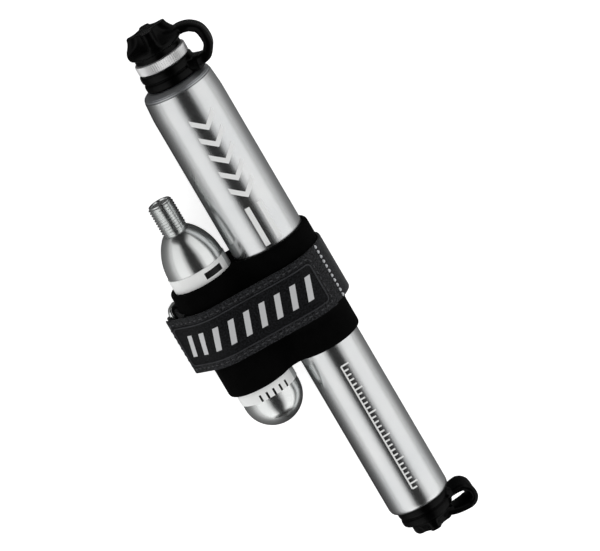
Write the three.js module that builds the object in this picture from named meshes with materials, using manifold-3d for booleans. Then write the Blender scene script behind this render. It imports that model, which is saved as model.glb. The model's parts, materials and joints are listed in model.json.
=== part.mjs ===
// Mini pump with a stowed inflation hose and a threaded gas cartridge in a strapped sleeve.
// Millimetres. X runs along the pump from the handle end to the foot and Z is up. The origin
// is the middle of the strap's flat back, half way between the pump and the cartridge.
import * as THREE from 'three';
import { mergeVertices } from 'three/addons/utils/BufferGeometryUtils.js';
import Module from 'manifold-3d';

const wasm = await Module();
wasm.setup();

// ---- clearances
const slideGap = 0.2; // between pieces that slide on each other
const seatGap = 0.15; // between pieces that are pressed, screwed or glued together
const layerGap = 0.15; // between layers of strap, sleeve and tube

// ---- handle: the outer tube that the hand holds
const handleAboveStrap = 83; // from the middle of the strap to the tube's upper edge
const handleBelowStrap = 9;
const handleRoom = 0.9; // air between the handle and the barrel
const handleWall = 1.1;
const handleTaperLength = 7;
const handleTaper = 0.55; // how much smaller the upper edge is
const collarPlugLength = 6;
const collarConeLength = 2.4;
const collarNeckLength = 6.8;
const collarNeckWall = 2.2; // round the rod
const rodWall = 0.8;
const rodInset = 1.4; // how far the rod's end stands back inside the collar

// ---- barrel: the inner tube that holds the air
const barrelRadius = 11.7;
const barrelWall = 1.1;
const barrelBelowStrap = 92.3; // from the middle of the strap to the tube's closed end
const barrelEndWall = 1.6;
const barrelEndRound = 1.6;
const footShoulderLength = 6.2;
const footNeckInset = 3.4; // how much smaller the neck is than the barrel
const footNeckLength = 6; // outside the tube
const portRadius = 2.9;
const portDepth = 4.4;
const glandLength = 9;
const glandFlange = 1.5;
const pistonLength = 7.4;
const pistonSpigotLength = 4.6;
const sealWidth = 2.7;
const sealDepth = 1.7;
const bumperLength = 3.2;
const bumperRoom = 1.4; // between the bumper and the bore
const pistonStandOff = 0.6; // the piston stops short of the foot

// ---- outlet valve in the foot
const valveChamberRadius = 2.6;
const valveSeatThickness = 2;
const valveSeatRadius = 3.4;
const valveHoleRadius = 1.2;
const poppetRadius = 2.2;
const poppetThickness = 1.5;
const springWire = 0.45;
const springTurns = 4;

// ---- inflation hose, stowed in the hollow rod
const headRadius = 9.8;
const headHeight = 3.9;
const headTeeth = 44;
const headToothDepth = 0.35;
const headSpigotLength = 6.6;
const socketDepth = 8;
const hoseRadius = 3.7;
const hoseBore = 2.45;
const stowRoom = 19.9; // empty rod beyond the stowed chuck
const barbLength = 6.5;
const barbBore = 1.1;
const ferruleWall = 0.9;
const ferruleLength = 7.4;
const chuckWall = 1.3; // how much larger the chuck is than the hose
const chuckRoom = 0.4; // between the chuck and the rod
const chuckLength = 17;
const valveThreadRadius = 3.9;
const grommetThickness = 2.4;

// ---- rubber end caps, boots and tethers
const bootRadius = 10.3;
const bootLength = 6.6;
const bottomBootInset = 1.8; // how much smaller the boot is than the barrel
const bottomBootLength = 6.1;
const beadDepth = 0.7;
const knobRadius = 7.6;
const knobNotch = 2.7;
const knobTurn = THREE.MathUtils.degToRad(8);
const topCapHeight = 9.8;
const topKnobHeight = 6.2; // down to the widest part of the flange
const topFlangeRadius = 10.3;
const topPlugLength = 5;
const bottomCapHeight = 4.9;
const bottomPlugLength = 3.6;
const tetherWidth = 6.5;
const tetherThickness = 2.2;
const lugWidth = 6.9;
const topBootLug = 2.5; // how far each lug stands out of its round
const topBootLugTurn = THREE.MathUtils.degToRad(28); // the boot's lug sits round to the front
const topCapLug = 0.4;
const bottomBootLug = 0.9;
const bottomCapLug = 0.8;
const topTetherReach = 6.8; // how far each tether's loop stands out
const bottomTetherReach = 7.5;

// ---- cartridge
const cartridgeRadius = 10.95;
const cartridgeLength = 92.2;
const cartridgeWall = 1.3;
const cartridgeTop = -49.9; // its neck's end, from the middle of the strap
const threadRadius = 4.76;
const threadFit = 0.09; // between the cartridge's thread and its socket
const threadDepth = 0.45;
const threadPitch = 1.06;
const threadRidges = 11;
const shoulderLength = 14.5;
const neckBore = 3.3;
const discThickness = 0.8;
const labelThickness = 0.15;
const labelLength = 52.8;

// ---- sleeve, strap and ring
const middleWall = 1; // foam between the pump and the cartridge
const sleeveWall = 1.7;
const sleeveLowerWall = 1.4; // where it grips the barrel
const sleeveUp = 18.7;
const sleeveGrip = 15.2; // how far it runs past the handle, along the barrel
const sleeveStepLength = 2; // from the handle's end to the step down to the barrel
const valleyRadius = 5;
const strapThickness = 0.9;
const strapWidth = 21.6;
const flapWidth = 22;
const flapEnd = 8.4; // how far the flap runs past the pump's axis
const foldWidth = 19.4; // the narrow tape that passes through the ring
const patchWidth = 16.4;
const patchThickness = 0.5;
const ringWire = 2.4;
const ringSlack = 0.4;
const ringShift = -1.9; // the ring sits towards the handle
const ringOuterAngle = THREE.MathUtils.degToRad(191);
const ringInnerAngle = THREE.MathUtils.degToRad(218);
const ringLift = 0.7; // how far the pulled strap holds the ring off the sleeve

// ---- how round the round pieces are
const bigSteps = 36;
const midSteps = 26;
const smallSteps = 16;

// ---- sizes that follow from the ones above
const chuckRadius = hoseRadius + chuckWall;
const rodBore = chuckRadius + chuckRoom;
const rodRadius = rodBore + rodWall;
const collarNeckRadius = rodRadius + collarNeckWall;
const socketRadius = threadRadius + threadFit;
const barrelBore = barrelRadius - barrelWall;
const footNeckRadius = barrelRadius - footNeckInset;
const bottomBootRadius = barrelRadius - bottomBootInset;
const handleBore = barrelRadius + handleRoom;
const handleRadius = handleBore + handleWall;
const handleTop = -handleAboveStrap;
const handleEnd = handleBelowStrap;
const sleeveHandleBore = handleRadius + slideGap;
const sleevePumpRadius = sleeveHandleBore + sleeveWall;
const sleeveBarrelBore = barrelRadius + slideGap;
const sleeveBarrelRadius = sleeveBarrelBore + sleeveLowerWall;
const sleeveCartridgeBore = cartridgeRadius + labelThickness + 2 * slideGap;
const sleeveCartridgeRadius = sleeveCartridgeBore + sleeveWall;
const sleeveStep = handleEnd + sleeveStepLength;
const sleeveDown = handleEnd + sleeveGrip;
const axisSpacing = sleeveHandleBore + sleeveCartridgeBore + middleWall;
const strapBack = strapThickness + layerGap; // the sleeve's back lies on the strap
const pumpCentre = new THREE.Vector2(axisSpacing / 2, strapBack + sleevePumpRadius);
const cartridgeCentre = new THREE.Vector2(-axisSpacing / 2, strapBack + sleeveCartridgeRadius);

const collarTop = handleTop - collarConeLength; // top of the cone, under the boot
const neckTop = collarTop - collarNeckLength;
const plugEnd = handleTop + collarPlugLength;
const glandTop = plugEnd + 2 * seatGap;
const barrelTop = glandTop + glandFlange + seatGap;
const glandEnd = glandTop + glandLength;
const footNeckStart = barrelBelowStrap - barrelEndWall - seatGap;
const footStart = footNeckStart - footShoulderLength;
const footEnd = barrelBelowStrap + footNeckLength;
const pistonEnd = footStart - pistonStandOff;
const pistonStart = pistonEnd - pistonLength;
const rodEnd = pistonStart - seatGap;
const rodStart = collarTop + rodInset;
const headTop = neckTop - seatGap - headHeight;
const spigotEnd = neckTop + headSpigotLength;
const socketFloor = headTop + socketDepth;
const hoseStart = spigotEnd + seatGap;
const chuckEnd = rodEnd - pistonSpigotLength - stowRoom;
const chuckStart = chuckEnd - chuckLength;
const hoseEnd = chuckStart - seatGap;

const finishes = {
  tube: { color: 0xc9cdd0, roughness: 0.28, metalness: 1 },
  darkMetal: { color: 0x4a4c4f, roughness: 0.4, metalness: 1 },
  brightMetal: { color: 0xdcdedf, roughness: 0.22, metalness: 1 },
  steel: { color: 0xd3d6d8, roughness: 0.15, metalness: 1 },
  brass: { color: 0xb9984e, roughness: 0.35, metalness: 1 },
  rubber: { color: 0x17181a, roughness: 0.6, metalness: 0 },
  hose: { color: 0x222326, roughness: 0.7, metalness: 0 },
  plastic: { color: 0x1d1e20, roughness: 0.45, metalness: 0 },
  whitePlastic: { color: 0xe4e4df, roughness: 0.5, metalness: 0 },
  neoprene: { color: 0x0c0c0d, roughness: 0.95, metalness: 0 },
  webbing: { color: 0x1a1b1d, roughness: 0.9, metalness: 0 },
  label: { color: 0xe9e9e8, roughness: 0.4, metalness: 0 },
};

// ---- geometry helpers

function piece(name, geometry, finish) {
  const mesh = new THREE.Mesh(geometry, new THREE.MeshStandardMaterial(finishes[finish]));
  mesh.name = name;
  return mesh;
}

function toManifold(geometry) {
  const bare = geometry.clone();
  bare.deleteAttribute('normal');
  bare.deleteAttribute('uv');
  const merged = mergeVertices(bare, 1e-4);
  return new wasm.Manifold(new wasm.Mesh({
    numProp: 3,
    vertProperties: new Float32Array(merged.attributes.position.array),
    triVerts: new Uint32Array(merged.index.array),
  }));
}

function toGeometry(manifold) {
  const mesh = manifold.getMesh();
  const geometry = new THREE.BufferGeometry();
  geometry.setAttribute('position', new THREE.BufferAttribute(mesh.vertProperties, 3));
  geometry.setIndex(new THREE.BufferAttribute(mesh.triVerts, 1));
  geometry.computeVertexNormals();
  return geometry;
}

function joined(...geometries) {
  return toGeometry(geometries.map(toManifold).reduce((all, next) => all.add(next)));
}

function cut(geometry, ...tools) {
  return toGeometry(tools.map(toManifold).reduce((all, tool) => all.subtract(tool), toManifold(geometry)));
}

// A solid of revolution about X from [x, radius] points. The outline is closed by itself when
// it leaves the axis at both ends, and it may run either way round.
function turned(outline, steps = midSteps) {
  const points = outline.map(([x, radius]) => new THREE.Vector2(radius, x));
  const onAxis = outline[0][1] === 0;
  if (!onAxis) points.push(points[0].clone());
  if (THREE.ShapeUtils.area(points) < 0) points.reverse();
  return new THREE.LatheGeometry(points, steps).rotateZ(-Math.PI / 2);
}

// A round bar or tube between two places on X.
function roundBar(from, to, radius, bore = 0, steps = midSteps) {
  return bore > 0
    ? turned([[from, radius], [to, radius], [to, bore], [from, bore]], steps)
    : turned([[from, 0], [from, radius], [to, radius], [to, 0]], steps);
}

// An outline in the YZ plane, extruded along X.
function prism(outline, from, to, holes = []) {
  const shape = new THREE.Shape(outline);
  shape.holes = holes.map((hole) => new THREE.Path(hole));
  const geometry = new THREE.ExtrudeGeometry(shape, { depth: to - from, bevelEnabled: false });
  const turn = new THREE.Matrix4().makeBasis(
    new THREE.Vector3(0, 1, 0),
    new THREE.Vector3(0, 0, 1),
    new THREE.Vector3(1, 0, 0),
  );
  return geometry.applyMatrix4(turn).translate(from, 0, 0);
}

// A closed skin over rings of points that all have the same count, with flat ends.
function lofted(rings) {
  const count = rings[0].length;
  const positions = rings.flat().flatMap((point) => point.toArray());
  const index = [];
  for (let ring = 0; ring + 1 < rings.length; ring += 1) {
    for (let i = 0; i < count; i += 1) {
      const a = ring * count + i;
      const b = ring * count + ((i + 1) % count);
      index.push(a, b, a + count, b, b + count, a + count);
    }
  }
  const last = (rings.length - 1) * count;
  for (const [start, flip] of [[0, true], [last, false]]) {
    const ring = rings[start / count];
    const middle = ring.reduce((sum, point) => sum.add(point), new THREE.Vector3()).divideScalar(count);
    const centre = positions.length / 3;
    positions.push(...middle.toArray());
    for (let i = 0; i < count; i += 1) {
      const a = start + i;
      const b = start + ((i + 1) % count);
      index.push(...(flip ? [centre, b, a] : [centre, a, b]));
    }
  }
  const geometry = new THREE.BufferGeometry();
  geometry.setAttribute('position', new THREE.Float32BufferAttribute(positions, 3));
  geometry.setIndex(index);
  if (toManifold(geometry).volume() < 0) geometry.setIndex(index.reverse());
  geometry.computeVertexNormals();
  return geometry;
}

// A flat band along a path. Each station is [x, distance from the pump's axis, turn about the
// axis from Y towards Z, lean], and lean tips the band's width towards X.
function bandAlong(stations, width, thickness) {
  const centres = stations.map(([x, out, turn]) => new THREE.Vector3(x, out * Math.cos(turn), out * Math.sin(turn)));
  const curve = new THREE.CatmullRomCurve3(centres);
  const sections = 18;
  const rings = [];
  for (let i = 0; i <= sections; i += 1) {
    const at = curve.getPoint(i / sections);
    const tangent = curve.getTangent(i / sections);
    const place = (i / sections) * (stations.length - 1);
    const before = Math.min(Math.floor(place), stations.length - 2);
    const turn = THREE.MathUtils.lerp(stations[before][2], stations[before + 1][2], place - before);
    const lean = THREE.MathUtils.lerp(stations[before][3], stations[before + 1][3], place - before);
    const across = new THREE.Vector3(Math.tan(lean), -Math.sin(turn), Math.cos(turn));
    across.addScaledVector(tangent, -across.dot(tangent)).normalize();
    const through = new THREE.Vector3().crossVectors(tangent, across);
    const corners = [[1, 0.55], [0.85, 1], [-0.85, 1], [-1, 0.55], [-1, -0.55], [-0.85, -1], [0.85, -1], [1, -0.55]];
    rings.push(corners.map(([u, v]) => at.clone()
      .addScaledVector(across, (u * width) / 2)
      .addScaledVector(through, (v * thickness) / 2)));
  }
  return lofted(rings);
}

// A knob whose outline has four lobes. Each station is [x, radius, notch].
function lobedKnob(stations, steps = 40) {
  return lofted(stations.map(([x, radius, notch]) => {
    const ring = [];
    for (let i = 0; i < steps; i += 1) {
      const angle = (i / steps) * 2 * Math.PI;
      const r = radius - notch * Math.sin(2 * (angle - knobTurn)) ** 2;
      ring.push(new THREE.Vector3(x, r * Math.cos(angle), r * Math.sin(angle)));
    }
    return ring;
  }));
}

// ---- straps and sleeve: paths in the YZ plane that wrap round circles
// A wrap is { centre, radius, way }, where way is 1 for anticlockwise and -1 for clockwise.

function contact(from, to) {
  const gap = to.centre.clone().sub(from.centre);
  const reach = (from.way * from.radius - to.way * to.radius) / gap.length();
  return gap.angle() - Math.acos(reach);
}

function arc(wrap, from, to, step = THREE.MathUtils.degToRad(9)) {
  const turn = 2 * Math.PI;
  const sweep = wrap.way * ((((wrap.way * (to - from)) % turn) + turn) % turn);
  const fine = wrap.radius < 4 ? 3 * step : step;
  const steps = Math.max(1, Math.round(Math.abs(sweep) / fine));
  return Array.from({ length: steps + 1 }, (_, i) => {
    const angle = from + (sweep * i) / steps;
    return new THREE.Vector2(Math.cos(angle), Math.sin(angle)).multiplyScalar(wrap.radius).add(wrap.centre);
  });
}

function beltPath(wraps, startAngle, endAngle) {
  let from = startAngle;
  return wraps.flatMap((wrap, i) => {
    const next = wraps[i + 1];
    const normal = next ? contact(wrap, next) : 0;
    const leave = next ? normal + (wrap.way < 0 ? Math.PI : 0) : endAngle;
    const points = arc(wrap, from, leave);
    if (next) from = normal + (next.way < 0 ? Math.PI : 0);
    return points;
  });
}

// The closed outline of a strip of even thickness about a path.
function strip(path, thickness) {
  const sides = path.map((point, i) => {
    const before = path[Math.max(i - 1, 0)];
    const after = path[Math.min(i + 1, path.length - 1)];
    const along = after.clone().sub(before).normalize();
    const normal = new THREE.Vector2(along.y, -along.x).multiplyScalar(thickness / 2);
    return [point.clone().add(normal), point.clone().sub(normal)];
  });
  return [...sides.map((side) => side[0]), ...sides.map((side) => side[1]).reverse()];
}

function ringBar(angle, distance) {
  return new THREE.Vector2(Math.cos(angle), Math.sin(angle)).multiplyScalar(distance).add(cartridgeCentre);
}

const layer = strapThickness + layerGap;
const barReach = ringWire / 2 + layerGap; // from a bar's centre to the tape round it
const innerBar = ringBar(ringInnerAngle, sleeveCartridgeRadius + layer + layerGap + ringWire / 2);
const outerBar = ringBar(ringOuterAngle, sleeveCartridgeRadius + layer + layerGap + ringWire / 2 + ringLift);

function wrapPump(lift, way = 1) {
  return { centre: pumpCentre, radius: sleevePumpRadius + layerGap + lift, way };
}

function wrapCartridge(lift, way = 1) {
  return { centre: cartridgeCentre, radius: sleeveCartridgeRadius + layerGap + lift, way };
}

function wrapBar(centre, lift, way) {
  return { centre, radius: barReach + lift, way };
}

// ---- handle

function handleTube() {
  const edge = handleTop + handleTaperLength;
  return turned([
    [handleTop, handleRadius - handleTaper],
    [edge, handleRadius],
    [handleEnd - 0.6, handleRadius],
    [handleEnd, handleRadius - 0.4],
    [handleEnd, handleBore],
    [handleTop, handleBore],
  ], bigSteps);
}

function handleCollar() {
  const coneRadius = handleRadius - handleTaper - 0.2;
  const groove = handleTop - 0.9;
  return turned([
    [neckTop, rodRadius + seatGap],
    [neckTop, collarNeckRadius],
    [collarTop, collarNeckRadius],
    [collarTop, bootRadius + 0.2],
    [groove - 0.25, coneRadius - 0.5],
    [groove, coneRadius - 0.8],
    [groove + 0.25, coneRadius - 0.25],
    [handleTop - seatGap, coneRadius],
    [handleTop - seatGap, handleBore - seatGap],
    [plugEnd, handleBore - seatGap],
    [plugEnd, rodRadius + seatGap],
  ], bigSteps);
}

function bootShell(start, length, radius, bore) {
  const bead = length / 2;
  return turned([
    [start, bore],
    [start, radius - beadDepth],
    [start + 0.18 * bead, radius],
    [start + 0.82 * bead, radius],
    [start + bead, radius - beadDepth],
    [start + 1.18 * bead, radius],
    [start + 1.82 * bead, radius],
    [start + length, radius - beadDepth],
    [start + length, bore],
  ]);
}

// A lug that carries a tether's end, reaching out along Y and then turned about the axis.
function lug(x, reach, inner, thickness, turn = 0) {
  return new THREE.BoxGeometry(thickness, reach - inner, lugWidth)
    .translate(x, (reach + inner) / 2, 0)
    .rotateX(turn);
}

const topBootStart = collarTop - seatGap - bootLength;
const topLugX = topBootStart + bootLength * 0.52;
const topCapTop = headTop - seatGap - topCapHeight;
const topFlangeX = topCapTop + topKnobHeight;
const topCapLugX = topFlangeX - 0.2;
const bootLugReach = bootRadius + topBootLug;
const capLugReach = topFlangeRadius + topCapLug;

function topBoot() {
  const bore = collarNeckRadius + seatGap;
  const shell = bootShell(topBootStart, bootLength, bootRadius, bore);
  return joined(shell, lug(topLugX, bootLugReach, bore + 0.6, tetherThickness + 1, topBootLugTurn));
}

function pistonRod() {
  return roundBar(rodStart, rodEnd, rodRadius, rodBore);
}

function pistonHead() {
  const outer = barrelBore - slideGap;
  const spigot = rodBore - seatGap;
  const grooveStart = pistonStart + (pistonLength - sealWidth) / 2;
  return turned([
    [rodEnd - pistonSpigotLength, 0],
    [rodEnd - pistonSpigotLength, spigot],
    [pistonStart, spigot],
    [pistonStart, outer],
    [grooveStart, outer],
    [grooveStart, outer - sealDepth],
    [grooveStart + sealWidth, outer - sealDepth],
    [grooveStart + sealWidth, outer],
    [pistonEnd, outer],
    [pistonEnd, 0],
  ]);
}

function pistonSeal() {
  const start = pistonStart + (pistonLength - sealWidth) / 2 + seatGap;
  const end = start + sealWidth - 2 * seatGap;
  const inner = barrelBore - slideGap - sealDepth + seatGap;
  const outer = barrelBore - 0.08;
  return turned([[start, inner], [start, outer - 0.5], [(start + end) / 2, outer], [end, outer - 0.5], [end, inner]]);
}

function rodBumper() {
  return roundBar(rodEnd - bumperLength, rodEnd, barrelBore - bumperRoom, rodRadius + seatGap);
}

// ---- barrel

function barrelTube() {
  const end = barrelBelowStrap;
  const round = barrelEndRound;
  const hole = footNeckRadius + seatGap;
  return turned([
    [barrelTop, barrelBore],
    [barrelTop, barrelRadius],
    [end - round, barrelRadius],
    [end - round * 0.62, barrelRadius - round * 0.08],
    [end - round * 0.29, barrelRadius - round * 0.29],
    [end - round * 0.08, barrelRadius - round * 0.62],
    [end, barrelRadius - round],
    [end, hole],
    [end - barrelEndWall, hole],
    [end - barrelEndWall, barrelBore],
  ], bigSteps);
}

const glandRadius = barrelBore - seatGap;
const ringGrooveWidth = 2;
const ringGrooveDepth = 1.2;
const glandGroove = barrelTop + 2.2;
const wiperGroove = glandEnd - 3.6;
const rodHole = rodRadius + slideGap;

function barrelGland() {
  return turned([
    [glandTop, rodHole],
    [glandTop, barrelRadius],
    [glandTop + glandFlange, barrelRadius],
    [glandTop + glandFlange, glandRadius],
    [glandGroove, glandRadius],
    [glandGroove, glandRadius - ringGrooveDepth],
    [glandGroove + ringGrooveWidth, glandRadius - ringGrooveDepth],
    [glandGroove + ringGrooveWidth, glandRadius],
    [glandEnd, glandRadius],
    [glandEnd, rodHole],
    [wiperGroove + ringGrooveWidth, rodHole],
    [wiperGroove + ringGrooveWidth, rodHole + ringGrooveDepth],
    [wiperGroove, rodHole + ringGrooveDepth],
    [wiperGroove, rodHole],
  ]);
}

// An O-ring with six flats, between two radii in a groove.
function oRing(start, inner, outer, steps = midSteps) {
  const width = ringGrooveWidth - 2 * seatGap;
  const third = (outer - inner) / 4;
  return turned([
    [start + seatGap, inner + third],
    [start + seatGap, outer - third],
    [start + seatGap + width / 2, outer],
    [start + seatGap + width, outer - third],
    [start + seatGap + width, inner + third],
    [start + seatGap + width / 2, inner],
  ], steps);
}

function glandRing() {
  return oRing(glandGroove, glandRadius - ringGrooveDepth + 0.1, barrelBore - 0.05);
}

function rodWiper() {
  return oRing(wiperGroove, rodRadius + 0.08, rodHole + ringGrooveDepth - 0.1);
}

const footGroove = footStart + 2.1;
const chamberStart = footStart + valveSeatThickness;
const chamberEnd = footEnd - portDepth - 1.4;

function barrelFoot() {
  const shoulder = barrelBore - seatGap;
  return turned([
    [footStart, valveSeatRadius + seatGap],
    [footStart, shoulder],
    [footGroove, shoulder],
    [footGroove, shoulder - ringGrooveDepth],
    [footGroove + ringGrooveWidth, shoulder - ringGrooveDepth],
    [footGroove + ringGrooveWidth, shoulder],
    [footNeckStart, shoulder],
    [footNeckStart, footNeckRadius],
    [footEnd, footNeckRadius],
    [footEnd, portRadius],
    [footEnd - portDepth, portRadius],
    [footEnd - portDepth, valveHoleRadius],
    [chamberEnd, valveHoleRadius],
    [chamberEnd, valveChamberRadius],
    [chamberStart + seatGap, valveChamberRadius],
    [chamberStart + seatGap, valveSeatRadius + seatGap],
  ]);
}

function footRing() {
  return oRing(footGroove, barrelBore - seatGap - ringGrooveDepth + 0.1, barrelBore - 0.05);
}

function valveSeat() {
  return roundBar(footStart, chamberStart, valveSeatRadius, valveHoleRadius, smallSteps);
}

const poppetStart = chamberStart + seatGap;

function outletPoppet() {
  const stem = poppetRadius * 0.4;
  return turned([
    [poppetStart, 0],
    [poppetStart, poppetRadius],
    [poppetStart + poppetThickness * 0.5, poppetRadius],
    [poppetStart + poppetThickness, stem],
    [poppetStart + poppetThickness, 0],
  ], smallSteps);
}

class Helix extends THREE.Curve {
  constructor(start, end, radius, turns) {
    super();
    Object.assign(this, { start, end, radius, turns });
  }

  getPoint(t, target = new THREE.Vector3()) {
    const angle = t * this.turns * 2 * Math.PI;
    const x = THREE.MathUtils.lerp(this.start, this.end, t);
    return target.set(x, this.radius * Math.cos(angle), this.radius * Math.sin(angle));
  }
}

function outletSpring() {
  const start = poppetStart + poppetThickness + springWire / 2 + seatGap;
  const end = chamberEnd - springWire / 2 - seatGap;
  const radius = valveChamberRadius - springWire / 2 - seatGap;
  const wire = new THREE.Shape().absarc(0, 0, springWire / 2, 0, 2 * Math.PI);
  return new THREE.ExtrudeGeometry(wire, {
    extrudePath: new Helix(start, end, radius, springTurns),
    steps: springTurns * 9,
    curveSegments: 3,
  });
}

// ---- inflation hose

function knurledDisc(start, end, radius, depth, teeth) {
  const outline = Array.from({ length: 2 * teeth }, (_, i) => {
    const angle = (i / teeth) * Math.PI;
    const r = i % 2 ? radius - depth : radius;
    return new THREE.Vector2(r * Math.cos(angle), r * Math.sin(angle));
  });
  return prism(outline, start, end);
}

function hoseHead() {
  const disc = knurledDisc(headTop, headTop + headHeight, headRadius, headToothDepth, headTeeth);
  const spigot = roundBar(headTop + 1, spigotEnd, rodRadius);
  const barb = roundBar(spigotEnd - 1, spigotEnd + barbLength, hoseBore - seatGap, 0, smallSteps);
  const socket = roundBar(headTop - 1, socketFloor, socketRadius);
  const passage = roundBar(socketFloor - 1, spigotEnd + barbLength + 1, barbBore, 0, smallSteps);
  return cut(joined(disc, spigot, barb), socket, passage);
}

const headSealThickness = 1.2;

function headSeal() {
  const end = socketFloor - seatGap;
  return roundBar(end - headSealThickness, end, socketRadius - seatGap, barbBore + 0.5, smallSteps);
}

function piercingPin() {
  const bore = 0.35;
  const body = barbBore - seatGap;
  const tip = socketFloor - 2.6;
  return turned([
    [tip, bore + 0.12],
    [tip + 1.2, body],
    [socketFloor + 1.2, body],
    [socketFloor + 1.2, bore],
    [tip, bore],
  ], smallSteps);
}

function hoseTube() {
  return roundBar(hoseStart, hoseEnd, hoseRadius, hoseBore, smallSteps);
}

function ferrule(start) {
  const bore = hoseRadius + seatGap;
  const outer = bore + ferruleWall;
  const waist = outer - 0.35;
  const end = start + ferruleLength;
  return turned([
    [start, bore],
    [start, outer],
    [start + ferruleLength * 0.3, outer],
    [start + ferruleLength * 0.4, waist],
    [end - ferruleLength * 0.4, waist],
    [end - ferruleLength * 0.3, outer],
    [end, outer],
    [end, bore],
  ], smallSteps);
}

const chuckFloor = chuckStart + 4;

function valveChuck() {
  const barb = hoseBore - seatGap;
  return turned([
    [chuckStart - barbLength, barbBore],
    [chuckStart - barbLength, barb],
    [chuckStart, barb],
    [chuckStart, chuckRadius],
    [chuckEnd - 0.5, chuckRadius],
    [chuckEnd, chuckRadius - 0.4],
    [chuckEnd, valveThreadRadius],
    [chuckFloor, valveThreadRadius],
    [chuckFloor, barbBore],
  ], smallSteps);
}

function chuckGrommet() {
  const start = chuckFloor + seatGap;
  return roundBar(start, start + grommetThickness, valveThreadRadius - seatGap, barbBore + 0.6, smallSteps);
}

// ---- end caps and tethers

function topCap() {
  const end = headTop - seatGap;
  const knob = lobedKnob([
    [topCapTop, knobRadius - 0.7, knobNotch],
    [topCapTop + 0.7, knobRadius, knobNotch],
    [topFlangeX - 1.6, knobRadius + 0.3, knobNotch],
    [topFlangeX - 0.9, topFlangeRadius - 0.6, 0.6],
    [topFlangeX, topFlangeRadius, 0],
    [topFlangeX + 1, topFlangeRadius - 0.6, 0],
    [topFlangeX + 1.6, headRadius - 1.1, 0],
    [end, headRadius - 0.8, 0],
  ]);
  const plug = roundBar(end - 1, headTop + topPlugLength, socketRadius - slideGap);
  const arm = lug(topCapLugX, capLugReach, knobRadius - 2, tetherThickness + 1);
  return joined(knob, plug, arm);
}

function topTether() {
  const from = capLugReach + layerGap * 2;
  const to = bootLugReach + layerGap * 2;
  const out = topFlangeRadius + topTetherReach;
  const middle = (topCapLugX + topLugX) / 2;
  return bandAlong([
    [topCapLugX, from, 0, 0],
    [topCapLugX + 0.3, from + 2.4, 0, 0],
    [topCapLugX + 2.6, out - 1.2, topBootLugTurn * 0.2, 0],
    [middle + 0.6, out + 0.4, topBootLugTurn * 0.45, 0],
    [topLugX - 2.4, out - 0.2, topBootLugTurn * 0.75, 0],
    [topLugX - 0.2, to + 1.6, topBootLugTurn, 0],
    [topLugX, to, topBootLugTurn, 0],
  ], tetherWidth, tetherThickness);
}

const bottomBootStart = barrelBelowStrap + seatGap;
const bottomLugX = bottomBootStart + bottomBootLength * 0.5;
const bottomBootReach = bottomBootRadius + bottomBootLug;
const bottomCapStart = Math.max(footEnd, bottomBootStart + bottomBootLength) + seatGap;
const bottomCapEnd = bottomCapStart + bottomCapHeight;
const bottomCapReach = knobRadius + bottomCapLug;
const bottomCapLugX = bottomCapStart + 2.1;

function bottomBoot() {
  const bore = footNeckRadius + seatGap;
  const shell = bootShell(bottomBootStart, bottomBootLength, bottomBootRadius, bore);
  return joined(shell, lug(bottomLugX, bottomBootReach, bore + 0.4, tetherThickness + 0.8));
}

function bottomCap() {
  const knob = lobedKnob([
    [bottomCapStart, knobRadius, 0],
    [bottomCapStart + 0.8, knobRadius + 0.2, 0],
    [bottomCapStart + 1.4, knobRadius, knobNotch * 0.6],
    [bottomCapEnd - 0.8, knobRadius - 0.1, knobNotch],
    [bottomCapEnd, knobRadius - 0.9, knobNotch],
  ]);
  const plug = roundBar(footEnd - bottomPlugLength, bottomCapStart + 1, portRadius - slideGap, 0, smallSteps);
  const arm = lug(bottomCapLugX, bottomCapReach, knobRadius - 3, tetherThickness + 0.4);
  return joined(knob, plug, arm);
}

function bottomTether() {
  const from = bottomBootReach + layerGap * 2;
  const to = bottomCapReach + layerGap * 2;
  const lean = THREE.MathUtils.degToRad(22);
  const out = bottomBootRadius + bottomTetherReach;
  return bandAlong([
    [bottomLugX, from, 0, 0],
    [bottomLugX, from + 2.4, 0, lean * 0.7],
    [bottomLugX + 0.8, out - 1.1, 0, lean],
    [(bottomLugX + bottomCapLugX) / 2 + 0.6, out, 0, lean],
    [bottomCapLugX - 0.1, out - 1.6, 0, lean],
    [bottomCapLugX + 0.2, to + 2.8, 0, lean * 0.6],
    [bottomCapLugX, to, 0, 0],
  ], tetherWidth * 0.92, tetherThickness);
}

// ---- cartridge

const threadEnd = cartridgeTop + threadRidges * threadPitch;
const cartridgeEnd = cartridgeTop + cartridgeLength;
const labelStart = threadEnd + shoulderLength;

// The bottle's outside from the neck to the tip, as [x, radius] with a wall taken off.
function bottleLine(inset) {
  const full = cartridgeRadius - inset;
  const neck = threadRadius - 0.1;
  const shoulder = [0.07, 0.15, 0.34, 0.55, 0.76, 1].map((share) => {
    const rise = Math.sin(0.5 * Math.PI * Math.min(1, share ** 0.78));
    return [threadEnd + share * shoulderLength, neck + (cartridgeRadius - neck) * rise - inset];
  });
  const dome = [0, 15, 30, 45, 60, 75].map((degrees) => {
    const angle = THREE.MathUtils.degToRad(degrees);
    return [cartridgeEnd - cartridgeRadius + full * Math.sin(angle), full * Math.cos(angle)];
  });
  return [...shoulder, ...dome, [cartridgeEnd - inset, 0]];
}

function cartridgeBottle() {
  const thread = Array.from({ length: threadRidges }, (_, i) => [
    [cartridgeTop + (i + 0.1) * threadPitch, threadRadius - threadDepth],
    [cartridgeTop + (i + 0.5) * threadPitch, threadRadius],
  ]).flat();
  return turned([
    ...bottleLine(cartridgeWall).reverse(),
    [threadEnd + 0.5, neckBore],
    [cartridgeTop, neckBore],
    ...thread,
    [threadEnd, threadRadius - 0.1],
    ...bottleLine(0),
  ]);
}

function cartridgeDisc() {
  const start = cartridgeTop + 0.3;
  return roundBar(start, start + discThickness, neckBore - seatGap, 0, smallSteps);
}

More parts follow.
